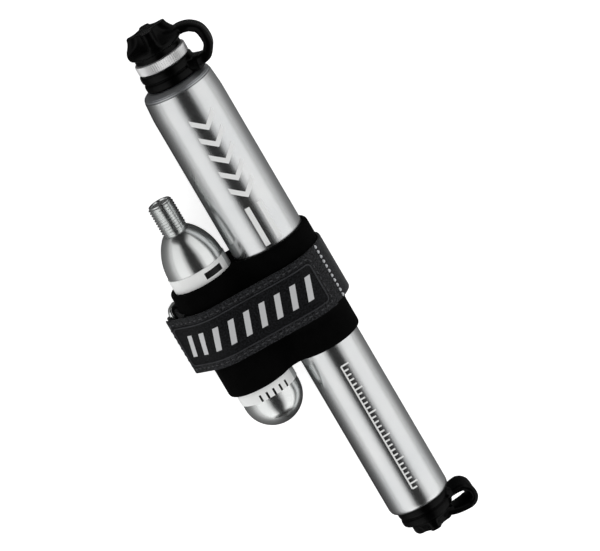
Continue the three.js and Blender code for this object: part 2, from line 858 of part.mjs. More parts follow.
function cartridgeLabel() {
  const inner = cartridgeRadius + slideGap / 2;
  return roundBar(labelStart, labelStart + labelLength, inner + labelThickness, inner, bigSteps);
}

// ---- sleeve, strap and ring

// Two circles joined by a straight back and a rounded valley at the front.
function sleeveOutline(pumpRadius, bottleRadius) {
  const pump = { centre: pumpCentre, radius: pumpRadius, way: 1 };
  const bottle = { centre: cartridgeCentre, radius: bottleRadius, way: 1 };
  const toPump = pumpRadius + valleyRadius;
  const toBottle = bottleRadius + valleyRadius;
  const gap = pumpCentre.clone().sub(cartridgeCentre);
  const along = (toBottle ** 2 - toPump ** 2 + gap.lengthSq()) / (2 * gap.length());
  const up = Math.sqrt(toBottle ** 2 - along ** 2);
  const unit = gap.clone().normalize();
  const middle = cartridgeCentre.clone().addScaledVector(unit, along);
  middle.addScaledVector(new THREE.Vector2(-unit.y, unit.x), up);
  const valley = { centre: middle, radius: valleyRadius, way: -1 };
  const back = contact(bottle, pump);
  const onPump = middle.clone().sub(pumpCentre).angle();
  const onBottle = middle.clone().sub(cartridgeCentre).angle();
  return [
    ...arc(pump, back, onPump),
    ...arc(valley, onPump + Math.PI, onBottle + Math.PI).slice(1),
    ...arc(bottle, onBottle, back).slice(1),
  ];
}

function bore(from, to, radius, centre) {
  return roundBar(from, to, radius, 0, bigSteps).translate(0, centre.x, centre.y);
}

function sleeve() {
  const upper = prism(sleeveOutline(sleevePumpRadius, sleeveCartridgeRadius), -sleeveUp, sleeveStep);
  const lower = prism(sleeveOutline(sleeveBarrelRadius, sleeveCartridgeRadius), sleeveStep - 1, sleeveDown);
  return cut(
    joined(upper, lower),
    bore(-sleeveUp - 1, handleEnd + 0.6, sleeveHandleBore, pumpCentre),
    bore(0, sleeveDown + 1, sleeveBarrelBore, pumpCentre),
    bore(-sleeveUp - 1, sleeveDown + 1, sleeveCartridgeBore, cartridgeCentre),
  );
}

const half = strapThickness / 2;
const joinAngle = THREE.MathUtils.degToRad(262); // where the ring's tape is sewn to the band
const foldAngle = THREE.MathUtils.degToRad(158); // where the band meets the narrow tape

function strapBand() {
  const start = joinAngle + 0.3 / sleeveCartridgeRadius;
  const path = beltPath([wrapCartridge(half), wrapPump(half), wrapCartridge(half)], start, foldAngle);
  return prism(strip(path, strapThickness), -strapWidth / 2, strapWidth / 2);
}

function ringLoop() {
  const start = THREE.MathUtils.degToRad(350);
  const path = beltPath([wrapBar(innerBar, half, 1), wrapCartridge(half)], start, joinAngle);
  return prism(strip(path, strapThickness), ringShift - foldWidth / 2, ringShift + foldWidth / 2);
}

function strapFold() {
  const start = foldAngle + 0.3 / sleeveCartridgeRadius;
  const end = THREE.MathUtils.degToRad(120);
  const path = beltPath([wrapCartridge(half), wrapBar(outerBar, half, -1)], start, end);
  return prism(strip(path, strapThickness), ringShift - foldWidth / 2, ringShift + foldWidth / 2);
}

const flapStart = THREE.MathUtils.degToRad(178); // clear of the ring's sides when the flap is open

function flapPath(lift) {
  const wraps = [
    wrapBar(outerBar, layer + lift, -1),
    wrapCartridge(layer + lift, -1),
    wrapPump(layer + lift, -1),
  ];
  const end = Math.acos(flapEnd / wraps[2].radius);
  return beltPath(wraps, flapStart, end);
}

function strapFlap() {
  return prism(strip(flapPath(half), strapThickness), -flapWidth / 2, flapWidth / 2);
}

function strapPatch() {
  const path = flapPath(layer + patchThickness / 2).slice(2, -1);
  return prism(strip(path, patchThickness), -patchWidth / 2, patchWidth / 2);
}

// A rectangular wire ring whose long bars run along X.
function strapRing() {
  const span = outerBar.distanceTo(innerBar);
  const inside = foldWidth / 2 + ringSlack;
  const outer = { x: inside + ringWire, y: span / 2 + ringWire / 2 };
  const inner = { x: inside, y: span / 2 - ringWire / 2 };
  const bevel = ringWire * 0.3;
  const shape = new THREE.Shape(roundedCorners(outer.x - bevel, outer.y - bevel, 1.6));
  shape.holes.push(new THREE.Path(roundedCorners(inner.x + bevel, inner.y + bevel, 0.9)));
  const ring = new THREE.ExtrudeGeometry(shape, {
    depth: ringWire - 2 * bevel,
    bevelThickness: bevel,
    bevelSize: bevel,
    bevelSegments: 1,
  });
  const middle = outerBar.clone().add(innerBar).divideScalar(2);
  const tilt = innerBar.clone().sub(outerBar).angle();
  return ring
    .translate(0, 0, bevel - ringWire / 2)
    .rotateX(tilt)
    .translate(ringShift, middle.x, middle.y);
}

function roundedCorners(x, y, radius) {
  const corners = [[1, 1, 0], [-1, 1, 0.5], [-1, -1, 1], [1, -1, 1.5]];
  return corners.flatMap(([sx, sy, quarter]) => Array.from({ length: 5 }, (_, i) => {
    const angle = (quarter + i / 8) * Math.PI;
    const centre = new THREE.Vector2(sx * (x - radius), sy * (y - radius));
    return centre.add(new THREE.Vector2(Math.cos(angle), Math.sin(angle)).multiplyScalar(radius));
  }));
}

// ---- the whole pump

const pump = new THREE.Group();
pump.position.set(0, pumpCentre.x, pumpCentre.y);
pump.add(
  piece('handle_tube', handleTube(), 'tube'),
  piece('handle_collar', handleCollar(), 'darkMetal'),
  piece('top_boot', topBoot(), 'rubber'),
  piece('piston_rod', pistonRod(), 'brightMetal'),
  piece('piston_head', pistonHead(), 'plastic'),
  piece('piston_seal', pistonSeal(), 'rubber'),
  piece('rod_bumper', rodBumper(), 'rubber'),
  piece('hose_head', hoseHead(), 'brightMetal'),
  piece('head_seal', headSeal(), 'rubber'),
  piece('piercing_pin', piercingPin(), 'steel'),
  piece('hose_tube', hoseTube(), 'hose'),
  piece('upper_ferrule', ferrule(hoseStart), 'brightMetal'),
  piece('lower_ferrule', ferrule(hoseEnd - ferruleLength), 'brightMetal'),
  piece('valve_chuck', valveChuck(), 'brightMetal'),
  piece('chuck_grommet', chuckGrommet(), 'rubber'),
  piece('top_cap', topCap(), 'rubber'),
  piece('top_tether', topTether(), 'rubber'),
  piece('barrel_tube', barrelTube(), 'tube'),
  piece('barrel_gland', barrelGland(), 'plastic'),
  piece('gland_o_ring', glandRing(), 'rubber'),
  piece('rod_wiper', rodWiper(), 'rubber'),
  piece('barrel_foot', barrelFoot(), 'brightMetal'),
  piece('foot_o_ring', footRing(), 'rubber'),
  piece('valve_seat', valveSeat(), 'brass'),
  piece('outlet_poppet', outletPoppet(), 'whitePlastic'),
  piece('outlet_spring', outletSpring(), 'steel'),
  piece('bottom_boot', bottomBoot(), 'rubber'),
  piece('bottom_cap', bottomCap(), 'rubber'),
  piece('bottom_tether', bottomTether(), 'rubber'),
);

const cartridge = new THREE.Group();
cartridge.position.set(0, cartridgeCentre.x, cartridgeCentre.y);
cartridge.add(
  piece('cartridge_bottle', cartridgeBottle(), 'steel'),
  piece('cartridge_disc', cartridgeDisc(), 'steel'),
  piece('cartridge_label', cartridgeLabel(), 'label'),
);

const holder = new THREE.Group();
holder.add(
  piece('sleeve', sleeve(), 'neoprene'),
  piece('strap_band', strapBand(), 'webbing'),
  piece('ring_loop', ringLoop(), 'webbing'),
  piece('strap_fold', strapFold(), 'webbing'),
  piece('strap_flap', strapFlap(), 'webbing'),
  piece('strap_patch', strapPatch(), 'rubber'),
  piece('strap_ring', strapRing(), 'steel'),
);

const miniPump = new THREE.Group();
miniPump.add(pump, cartridge, holder);

export default miniPump;
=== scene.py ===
import json
import math

import bmesh
import bpy
from mathutils import Matrix, Vector


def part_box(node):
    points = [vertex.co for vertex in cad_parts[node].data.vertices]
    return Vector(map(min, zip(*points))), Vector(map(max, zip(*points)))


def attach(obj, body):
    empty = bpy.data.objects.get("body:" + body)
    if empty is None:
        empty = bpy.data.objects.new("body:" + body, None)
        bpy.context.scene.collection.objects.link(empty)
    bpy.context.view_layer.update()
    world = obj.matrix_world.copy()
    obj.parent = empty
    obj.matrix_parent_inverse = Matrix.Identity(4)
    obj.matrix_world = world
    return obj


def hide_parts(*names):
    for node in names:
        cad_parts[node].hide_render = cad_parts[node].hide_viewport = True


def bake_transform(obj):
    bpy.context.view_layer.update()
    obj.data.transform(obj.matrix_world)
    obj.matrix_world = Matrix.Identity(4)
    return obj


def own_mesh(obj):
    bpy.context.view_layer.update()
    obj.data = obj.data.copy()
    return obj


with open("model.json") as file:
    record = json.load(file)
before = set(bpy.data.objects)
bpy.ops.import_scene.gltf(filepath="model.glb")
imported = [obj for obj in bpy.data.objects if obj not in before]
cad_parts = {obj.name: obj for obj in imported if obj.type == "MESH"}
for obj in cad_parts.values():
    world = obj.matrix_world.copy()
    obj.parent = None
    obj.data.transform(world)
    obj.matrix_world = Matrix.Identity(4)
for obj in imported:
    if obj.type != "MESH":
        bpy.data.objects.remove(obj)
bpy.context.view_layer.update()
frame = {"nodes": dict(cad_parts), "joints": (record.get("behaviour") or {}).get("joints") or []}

mm = 0.001
tau = 2 * math.pi
print("frame loaded:", len(frame["nodes"]), "nodes")


# ---- places read from the frame, in millimetres

def boxOf(node):
    low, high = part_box(node)
    return Vector(low) / mm, Vector(high) / mm


def axisOf(node):
    low, high = boxOf(node)
    return (low.y + high.y) / 2, (low.z + high.z) / 2


def radiusOf(node):
    low, high = boxOf(node)
    return max(high.y - low.y, high.z - low.z) / 2


pumpAxis = axisOf("barrel_tube")
cartridgeAxis = axisOf("cartridge_bottle")


# ---- camera

cameraSpec = {
    "tiltDegrees": 15,        # how far it looks down the pump from the handle end
    "rollDegrees": 59.6,      # turns the pump's axis across the view
    "distance": 2.6,
    "lens": 442,
    "aimX": -0.95,            # mm
    "swingDegrees": 5.2,      # round the pump, so that both tubes lie level in the view
    "aimBesidePump": 3.3,     # mm towards the tethers
}


def makeCamera(spec):
    tilt, roll = math.radians(spec["tiltDegrees"]), math.radians(spec["rollDegrees"])
    swing = Matrix.Rotation(math.radians(spec["swingDegrees"]), 3, "X")
    along = swing @ Vector((math.cos(tilt), 0, math.sin(tilt)))
    back = swing @ Vector((-math.sin(tilt), 0, math.cos(tilt)))
    side = swing @ Vector((0, 1, 0))
    right = along * math.cos(roll) + side * math.sin(roll)
    up = side * math.cos(roll) - along * math.sin(roll)
    aim = Vector((spec["aimX"], pumpAxis[0] + spec["aimBesidePump"], pumpAxis[1])) * mm
    data = bpy.data.cameras.new("camera")
    data.lens = spec["lens"]
    data.clip_start, data.clip_end = 0.05, 40
    camera = bpy.data.objects.new("camera", data)
    facing = Matrix((right, up, back)).transposed().to_4x4()
    camera.matrix_world = Matrix.Translation(aim + back * spec["distance"]) @ facing
    bpy.context.scene.collection.objects.link(camera)
    bpy.context.scene.camera = camera


makeCamera(cameraSpec)


# ---- materials

def linear(hexColour):
    parts = [int(hexColour[i:i + 2], 16) / 255 for i in (1, 3, 5)]
    return [c / 12.92 if c <= 0.04045 else ((c + 0.055) / 1.055) ** 2.4 for c in parts] + [1.0]


# Adds a node. Inputs that are sockets become links, and colours are given as hex words.
def addNode(tree, kind, settings=None, inputs=None):
    node = tree.nodes.new(kind)
    for key, value in (settings or {}).items():
        setattr(node, key, value)
    for key, value in (inputs or {}).items():
        if isinstance(value, bpy.types.NodeSocket):
            tree.links.new(value, node.inputs[key])
        else:
            node.inputs[key].default_value = linear(value) if isinstance(value, str) else value
    return node


def newMaterial(name, inputs):
    material = bpy.data.materials.new(name)
    material.use_nodes = True
    tree = material.node_tree
    tree.nodes.clear()
    shader = addNode(tree, "ShaderNodeBsdfPrincipled", None, inputs)
    addNode(tree, "ShaderNodeOutputMaterial", None, {"Surface": shader.outputs[0]})
    return material, tree, shader


# A strength that runs from low to high over the ramp's two ends.
def ramp(tree, value, low, high, out):
    return addNode(tree, "ShaderNodeMapRange", None, {
        "Value": value, "From Min": low, "From Max": high, "To Min": out[0], "To Max": out[1],
    }).outputs[0]


def calc(tree, operation, *values):
    return addNode(tree, "ShaderNodeMath", {"operation": operation}, dict(enumerate(values))).outputs[0]


def mixColour(tree, share, first, second):
    return addNode(tree, "ShaderNodeMix", {"data_type": "RGBA"}, {0: share, 6: first, 7: second}).outputs[2]


def noise(tree, place, detail, scale=1.0):
    inputs = {"Vector": place, "Scale": scale, "Detail": detail}
    return addNode(tree, "ShaderNodeTexNoise", None, inputs).outputs["Fac"]


def surfaceMillimetres(tree, scale):
    uv = addNode(tree, "ShaderNodeUVMap", {"uv_map": "millimetres"})
    return addNode(tree, "ShaderNodeMapping", None, {"Vector": uv.outputs[0], "Scale": scale}).outputs[0]


def objectMillimetres(tree, scale):
    where = addNode(tree, "ShaderNodeTexCoord").outputs["Object"]
    size = [s / mm for s in scale]
    return addNode(tree, "ShaderNodeMapping", None, {"Vector": where, "Scale": size}).outputs[0]


# Roughness follows a pattern from one value to another.
def roughen(tree, shader, pattern, rough, low=0.3, high=0.7):
    tree.links.new(ramp(tree, pattern, low, high, rough), shader.inputs["Roughness"])


def emboss(tree, shader, pattern, strength, depth, invert=False):
    inputs = {"Strength": strength, "Distance": depth * mm, "Height": pattern}
    bump = addNode(tree, "ShaderNodeBump", {"invert": invert}, inputs)
    tree.links.new(bump.outputs[0], shader.inputs["Normal"])


# Satin anodised aluminium: broad soft reflections, with the faint rings that turning left.
def satinAnodisedAluminium():
    material, tree, shader = newMaterial("satin anodised aluminium", {"Metallic": 1.0})
    turning = noise(tree, surfaceMillimetres(tree, (7, 0.05, 1)), 3.0)
    cloud = noise(tree, surfaceMillimetres(tree, (0.05, 0.09, 1)), 2.0)
    colour = mixColour(tree, ramp(tree, cloud, 0.3, 0.7, (0, 1)), "#dfe1e2", "#e6e7e7")
    tree.links.new(colour, shader.inputs["Base Color"])
    roughen(tree, shader, turning, (0.2, 0.26))
    emboss(tree, shader, turning, 0.025, 0.02)
    return material


# Aluminium turned and bright anodised, with a glint from tool mark to tool mark. Knurled
# pieces are frosted.
def brightTurnedAluminium(name, colourWord, rough):
    material, tree, shader = newMaterial(name, {"Metallic": 1.0, "Base Color": colourWord})
    turning = noise(tree, objectMillimetres(tree, (9, 0.4, 0.4)), 3.0)
    roughen(tree, shader, turning, rough)
    emboss(tree, shader, turning, 0.08, 0.03)
    return material


# Hard grey anodising over turned aluminium: a dull metal with a grey cast.
def darkAnodisedAluminium():
    material, tree, shader = newMaterial("dark anodised aluminium", {"Metallic": 0.9})
    turning = noise(tree, surfaceMillimetres(tree, (8, 0.08, 1)), 3.0)
    tree.links.new(mixColour(tree, turning, "#a6a8ab", "#babcbf"), shader.inputs["Base Color"])
    roughen(tree, shader, turning, (0.3, 0.42))
    return material


# Deep-drawn steel with bright nickel plate, with slight waves from the drawing.
def nickelPlatedSteel():
    material, tree, shader = newMaterial("nickel plated steel", {"Metallic": 1.0, "Base Color": "#eceeed"})
    wave = noise(tree, objectMillimetres(tree, (0.12, 0.16, 0.16)), 1.0)
    haze = noise(tree, objectMillimetres(tree, (1.5, 1.5, 1.5)), 4.0)
    roughen(tree, shader, haze, (0.2, 0.25), 0.3, 0.75)
    emboss(tree, shader, wave, 0.12, 0.6)
    return material


# Moulded rubber or plastic: satin, with the fine spark-eroded grain of the mould.
def moulded(name, dark, light, rough, shine=0.3):
    material, tree, shader = newMaterial(name, {"Specular IOR Level": shine})
    grain = noise(tree, objectMillimetres(tree, (5, 5, 5)), 4.0)
    bloom = noise(tree, objectMillimetres(tree, (0.35, 0.35, 0.35)), 2.0)
    colour = mixColour(tree, ramp(tree, bloom, 0.35, 0.7, (0, 1)), dark, light)
    tree.links.new(colour, shader.inputs["Base Color"])
    roughen(tree, shader, grain, rough)
    emboss(tree, shader, grain, 0.25, 0.03)
    return material


# Neoprene foam with a knitted nylon face: dead black, tiny loops half a millimetre apart.
def knitFacedNeoprene():
    material, tree, shader = newMaterial("knit faced neoprene", {
        "Roughness": 0.95, "Specular IOR Level": 0.06,
    })
    loops = addNode(tree, "ShaderNodeTexVoronoi", None, {
        "Vector": objectMillimetres(tree, (1.8, 2.6, 2.6)), "Scale": 1.0, "Randomness": 0.35,
    }).outputs["Distance"]
    patches = noise(tree, objectMillimetres(tree, (0.2, 0.2, 0.2)), 3.0)
    colour = mixColour(tree, ramp(tree, patches, 0.3, 0.7, (0, 1)), "#020202", "#050505")
    tree.links.new(colour, shader.inputs["Base Color"])
    emboss(tree, shader, loops, 0.5, 0.12, True)
    return material


# A weave: warp cords run along the strap and the weft crosses them, with fuzz over both.
weaveSpec = {"weftPitch": 0.55, "warpPitch": 0.62, "share": 0.2, "fuzz": 1.6}


def woven(name, dark, light, shine):
    material, tree, shader = newMaterial(name, {
        "Sheen Weight": 0.14, "Sheen Roughness": 0.3, "Specular IOR Level": shine,
    })
    place = surfaceMillimetres(tree, (1, 1, 1))
    split = addNode(tree, "ShaderNodeSeparateXYZ", None, {"Vector": place})
    weft = calc(tree, "SINE", calc(tree, "MULTIPLY", split.outputs[0], tau / weaveSpec["weftPitch"]))
    warp = calc(tree, "SINE", calc(tree, "MULTIPLY", split.outputs[1], tau / weaveSpec["warpPitch"]))
    fuzz = noise(tree, place, 3.0, weaveSpec["fuzz"])
    mixed = calc(tree, "MULTIPLY_ADD", calc(tree, "MULTIPLY", weft, warp), weaveSpec["share"], fuzz)
    colour = mixColour(tree, ramp(tree, mixed, 0.46, 0.64, (0, 1)), dark, light)
    tree.links.new(colour, shader.inputs["Base Color"])
    roughen(tree, shader, fuzz, (0.42, 0.62))
    emboss(tree, shader, mixed, 0.75, 0.16)
    return material


# Bonded nylon thread with its twist.
def sewingThread(name, colourWord):
    material, tree, shader = newMaterial(name, {
        "Base Color": colourWord, "Roughness": 0.6, "Sheen Weight": 0.2,
    })
    twist = addNode(tree, "ShaderNodeTexWave", {"bands_direction": "DIAGONAL"}, {
        "Vector": objectMillimetres(tree, (1, 1, 1)), "Scale": 1.2,
    }).outputs["Fac"]
    emboss(tree, shader, twist, 0.4, 0.08)
    return material


# Screen ink: opaque and slightly glossy, a little thinner at random.
def screenInk(name, colourWord, rough):
    material, tree, shader = newMaterial(name, {"Base Color": colourWord, "Specular IOR Level": 0.4})
    thin = noise(tree, objectMillimetres(tree, (2, 2, 2)), 3.0)
    roughen(tree, shader, thin, (rough - 0.08, rough + 0.08))
    return material


satinTube = satinAnodisedAluminium()
brightMetal = brightTurnedAluminium("bright turned aluminium", "#e9eaea", (0.16, 0.3))
knurledMetal = brightTurnedAluminium("frosted knurled aluminium", "#fbfbfb", (0.5, 0.62))
darkMetal = darkAnodisedAluminium()
plate = nickelPlatedSteel()
rubber = moulded("moulded black rubber", "#010101", "#030303", (0.2, 0.32), 0.1)
patchGrain = woven("woven grained patch rubber", "#010101", "#202124", 0.1)
edgeRubber = moulded("welded patch edge", "#2b2c2e", "#36373a", (0.4, 0.5))
hoseRubber = moulded("extruded hose rubber", "#141416", "#1c1d1f", (0.55, 0.7))
acetal = moulded("turned black acetal", "#101011", "#161617", (0.3, 0.4))
whiteAcetal = moulded("moulded white acetal", "#deded8", "#e8e8e2", (0.35, 0.45))
neoprene = knitFacedNeoprene()
webbing = woven("woven nylon webbing", "#020202", "#3a3b3e", 0.1)
tape = woven("woven hook tape", "#050505", "#1a1b1c", 0.2)
greyThread = sewingThread("light grey bonded thread", "#c9cbce")
blackThread = sewingThread("black bonded thread", "#2c2d30")
whiteInk = screenInk("white screen ink", "#f4f5f4", 0.4)
greyInk = screenInk("light grey screen ink", "#c6c7c8", 0.5)
print("materials made")


# ---- building meshes

def finishMesh(name, mesh, finish, crease):
    solid = bmesh.new()
    solid.from_mesh(mesh)
    bmesh.ops.recalc_face_normals(solid, faces=solid.faces)
    solid.to_mesh(mesh)
    solid.free()
    mesh.shade_smooth()
    mesh.set_sharp_from_angle(angle=math.radians(crease))
    piece = bpy.data.objects.new(name, mesh)
    bpy.context.scene.collection.objects.link(piece)
    mesh.materials.append(finish)
    return piece


# Skin over rings of points. A ring with one point is a tip. Looped rings join last to first.
def loft(name, rings, finish, looped=False, crease=40):
    points, starts = [], []
    for ring in rings:
        starts.append(len(points))
        points.extend(Vector(point) * mm for point in ring)
    count = max(len(ring) for ring in rings)
    lengths, around = [0.0], [0.0]
    widest = max(rings, key=lambda ring: (Vector(ring[0]) - Vector(ring[len(ring) // 2])).length)
    for i in range(count):
        around.append(around[-1] + (Vector(widest[(i + 1) % count]) - Vector(widest[i])).length)
    for i in range(len(rings)):
        there, here = rings[(i + 1) % len(rings)], rings[i]
        lengths.append(lengths[-1] + (Vector(there[0]) - Vector(here[0])).length)
    faces, places = [], []
    for i in range(len(rings) if looped else len(rings) - 1):
        j = (i + 1) % len(rings)
        for k in range(count):
            m = (k + 1) % count
            corners = [(i, k, k), (i, m, k + 1), (j, m, k + 1), (j, k, k)]
            if len(rings[i]) == 1:
                corners = [(i, 0, k), corners[2], corners[3]]
            elif len(rings[j]) == 1:
                corners = [corners[0], corners[1], (j, 0, k)]
            faces.append([starts[r] + v for r, v, _ in corners])
            places.append([(lengths[i if r == i else i + 1], around[a]) for r, _, a in corners])
    if not looped:
        for i in (0, len(rings) - 1):
            if len(rings[i]) > 1:
                faces.append([starts[i] + k for k in range(count)])
                places.append([(lengths[i], around[k]) for k in range(count)])
    mesh = bpy.data.meshes.new(name)
    mesh.from_pydata(points, [], faces)
    layer = mesh.uv_layers.new(name="millimetres")
    flat = [place for face in places for place in face]
    for loop, place in zip(layer.data, flat):
        loop.uv = place
    return finishMesh(name, mesh, finish, crease)


# Rounds the corners of an outline. Each point is (x, radius) or (x, radius, softness).
def softened(outline, closed):
    points = []
    for i, entry in enumerate(outline):
        here = Vector(entry[:2])
        soft = entry[2] if len(entry) > 2 else 0
        if not soft or (not closed and i in (0, len(outline) - 1)):
            points.append(here)
            continue
        before = Vector(outline[i - 1][:2]) - here
        after = Vector(outline[(i + 1) % len(outline)][:2]) - here
        start = here + before.normalized() * min(soft, before.length * 0.49)
        end = here + after.normalized() * min(soft, after.length * 0.49)
        for step in range(6):
            t = step / 5
            points.append(start * (1 - t) ** 2 + here * 2 * t * (1 - t) + end * t * t)
    return points


def roundRing(x, radius, axis, segments):
    ring = []
    for i in range(segments):
        angle = tau * i / segments
        ring.append((x, axis[0] + radius * math.cos(angle), axis[1] + radius * math.sin(angle)))
    return ring


# A solid of revolution about an axis along X. The outline starts and ends on the axis, or
# goes round a bore and closes on itself.
def turn(name, outline, axis, finish, segments=144, crease=40, closed=None):
    closed = outline[0][1] > 0 if closed is None else closed
    rings = []
    for x, radius in softened(outline, closed):
        rings.append([(x, *axis)] if radius < 1e-6 else roundRing(x, radius, axis, segments))
    return loft(name, rings, finish, closed, crease)


def applied(piece):
    graph = bpy.context.evaluated_depsgraph_get()
    baked = bpy.data.meshes.new_from_object(piece.evaluated_get(graph))
    piece.modifiers.clear()
    piece.data = baked
    return piece


# Melts overlapping pieces into one moulded skin with small fillets.
def melted(name, parts, finish, voxel, smooth):
    mesh = bmesh.new()
    for part in parts:
        mesh.from_mesh(part.data)
    whole = bpy.data.meshes.new(name)
    mesh.to_mesh(whole)
    mesh.free()
    for part in parts:
        bpy.data.objects.remove(part)
    piece = bpy.data.objects.new(name, whole)
    bpy.context.scene.collection.objects.link(piece)
    remesh = piece.modifiers.new("remesh", "REMESH")
    remesh.mode, remesh.voxel_size = "VOXEL", voxel * mm
    soften = piece.modifiers.new("smooth", "SMOOTH")
    soften.factor, soften.iterations = 0.5, smooth
    bpy.context.view_layer.update()
    applied(piece)
    piece.data.materials.clear()
    piece.data.materials.append(finish)
    piece.data.shade_smooth()
    return piece


# A band or rod swept along a curve through stations. Each station has a place, the
# direction of the band's width, the width and the thickness.
def sweep(name, stations, finish, steps=60, corners=24, square=4.0, closed=False, crease=60):
    count = len(stations)
    rings = []
    total = steps if closed else steps + 1
    for step in range(total):
        t = step / steps * (count if closed else count - 1)
        i = min(int(t), count - 1 if closed else count - 2)
        f = t - i
        around = [stations[(i + k) % count if closed else min(max(i + k, 0), count - 1)] for k in (-1, 0, 1, 2)]
        places = [Vector(s[0]) for s in around]
        at = catmull(places, f)
        along = (catmull(places, f + 0.01) - catmull(places, f - 0.01)).normalized()
        across = Vector(around[1][1]).lerp(Vector(around[2][1]), f)
        across = (across - along * across.dot(along)).normalized()
        through = along.cross(across)
        width = around[1][2] + (around[2][2] - around[1][2]) * f
        thick = around[1][3] + (around[2][3] - around[1][3]) * f
        ring = []
        for c in range(corners):
            angle = tau * c / corners
            cosine, sine = math.cos(angle), math.sin(angle)
            reach = (abs(cosine) ** square + abs(sine) ** square) ** (-1 / square)
            ring.append(at + across * (reach * cosine * width / 2) + through * (reach * sine * thick / 2))
        rings.append(ring)
    return loft(name, rings, finish, closed, crease)


def catmull(p, t):
    return 0.5 * (
        2 * p[1] + (p[2] - p[0]) * t + (2 * p[0] - 5 * p[1] + 4 * p[2] - p[3]) * t * t
        + (3 * p[1] - p[0] - 3 * p[2] + p[3]) * t ** 3
    )


def place(piece, body, slot, *nodes):
    if body:
        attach(piece, body)
    if nodes:
        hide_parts(*nodes)
    return piece


# ---- the handle: tube, collar and rod

handleSpec = {"wall": 1.1, "taperLength": 7.0, "taper": 0.55, "edge": 0.35}


def makeHandleTube(spec):
    low, high = boxOf("handle_tube")
    radius = radiusOf("handle_tube")
    top = radius - spec["taper"]
    edge = spec["edge"]
    tube = turn("handleTube", [
        (low.x, top, edge), (low.x + spec["taperLength"], radius, 1.5), (high.x, radius, edge),
        (high.x, radius - spec["wall"], edge * 0.6), (low.x, radius - spec["wall"], edge * 0.5),
    ], pumpAxis, satinTube, 192, 50)
    place(tube, "handle", "tube_aluminium", "handle_tube")


collarSpec = {"coneLength": 2.4, "neckRadius": 8.4, "bore": 6.35, "gap": 0.15}


def makeCollar(spec):
    low, high = boxOf("handle_collar")
    tubeTop = boxOf("handle_tube")[0].x
    cone = radiusOf("handle_tube") - handleSpec["taper"] - spec["gap"]
    inner = radiusOf("handle_tube") - handleSpec["wall"] - spec["gap"]
    bootRadius = radiusOf("top_cap")
    edge = tubeTop - 0.1
    collar = turn("handleCollar", [
        (low.x, spec["bore"], 0.1), (low.x, spec["neckRadius"], 0.3),
        (tubeTop - spec["coneLength"], spec["neckRadius"], 0.1),
        (tubeTop - spec["coneLength"], bootRadius + 0.1, 0.25),
        (edge - 1.05, cone - 0.35, 0.15), (edge - 0.95, cone - 0.6, 0.05), (edge - 0.75, cone - 0.6, 0.05),
        (edge - 0.65, cone - 0.1, 0.15), (edge, cone, 0.2),
        (edge, inner, 0.05), (high.x, inner, 0.3), (high.x, spec["bore"], 0.2),
    ], pumpAxis, darkMetal, 192, 35)
    place(collar, "handle", "dark_anodised", "handle_collar")


def makeRod():
    low, high = boxOf("piston_rod")
    radius = radiusOf("piston_rod")
    rod = turn("pistonRod", [
        (low.x, radius, 0.2), (high.x, radius, 0.2), (high.x, radius - 0.8, 0.1), (low.x, radius - 0.8, 0.1),
    ], pumpAxis, brightMetal, 96, 40)
    place(rod, "handle", "bright_aluminium", "piston_rod")


makeHandleTube(handleSpec)
makeCollar(collarSpec)
makeRod()
print("handle made")


# ---- the barrel and its gland

barrelSpec = {"wall": 1.1, "endWall": 1.6, "endRound": 2.6, "hole": 8.45}


def makeBarrel(spec):
    low, high = boxOf("barrel_tube")
    radius = radiusOf("barrel_tube")
    barrel = turn("barrelTube", [
        (low.x, radius, 0.3), (high.x, radius, spec["endRound"]), (high.x, spec["hole"], 0.2),
        (high.x - spec["endWall"], spec["hole"], 0.1), (high.x - spec["endWall"], radius - spec["wall"], 0.8),
        (low.x, radius - spec["wall"], 0.2),
    ], pumpAxis, satinTube, 192, 50)
    place(barrel, "barrel", "tube_aluminium", "barrel_tube")
    low, high = boxOf("barrel_gland")
    bore = radiusOf("piston_rod") + 0.2
    gland = turn("barrelGland", [
        (low.x, bore, 0.3), (low.x, radius, 0.5), (low.x + 1.5, radius, 0.2),
        (low.x + 1.5, radius - spec["wall"] - 0.15), (high.x, radius - spec["wall"] - 0.15, 0.3),
        (high.x, bore, 0.2),
    ], pumpAxis, acetal, 96, 40)
    place(gland, "barrel", "black_plastic", "barrel_gland")


makeBarrel(barrelSpec)
print("barrel made")


# ---- rubber boots, caps and tethers

knobSpec = {"arm": 2.1, "sharpness": 6.0, "blend": 9.0, "turnDegrees": 8.0}


# The outline of a knob with four arms that reach out to lobe from a round hub.
def crossRadius(angle, lobe, hub):
    bend = (angle - math.radians(knobSpec["turnDegrees"])) % (tau / 4)
    off = min(bend, tau / 4 - bend)
    p, q = knobSpec["sharpness"], knobSpec["blend"]
    side = knobSpec["arm"] / max(math.sin(off), 1e-3)
    cross = (lobe ** -p + side ** -p) ** (-1 / p)
    return min(lobe, (cross ** q + hub ** q) ** (1 / q))


# Each station is a place along the pump, the arms' reach and the hub's radius.
def knobRings(stations, segments=176):
    rings = []
    for x, lobe, hub in stations:
        ring = []
        for i in range(segments):
            angle = tau * i / segments
            r = crossRadius(angle, lobe, hub)
            ring.append((x, pumpAxis[0] + r * math.cos(angle), pumpAxis[1] + r * math.sin(angle)))
        rings.append(ring)
    return rings


def scaledRing(ring, share, x):
    y, z = pumpAxis
    return [(x, y + (point[1] - y) * share, z + (point[2] - z) * share) for point in ring]


topCapSpec = {"lobe": 7.6, "flange": 10.3, "hub": 4.5, "dish": 0.5, "rim": 8.95, "plug": 4.65}


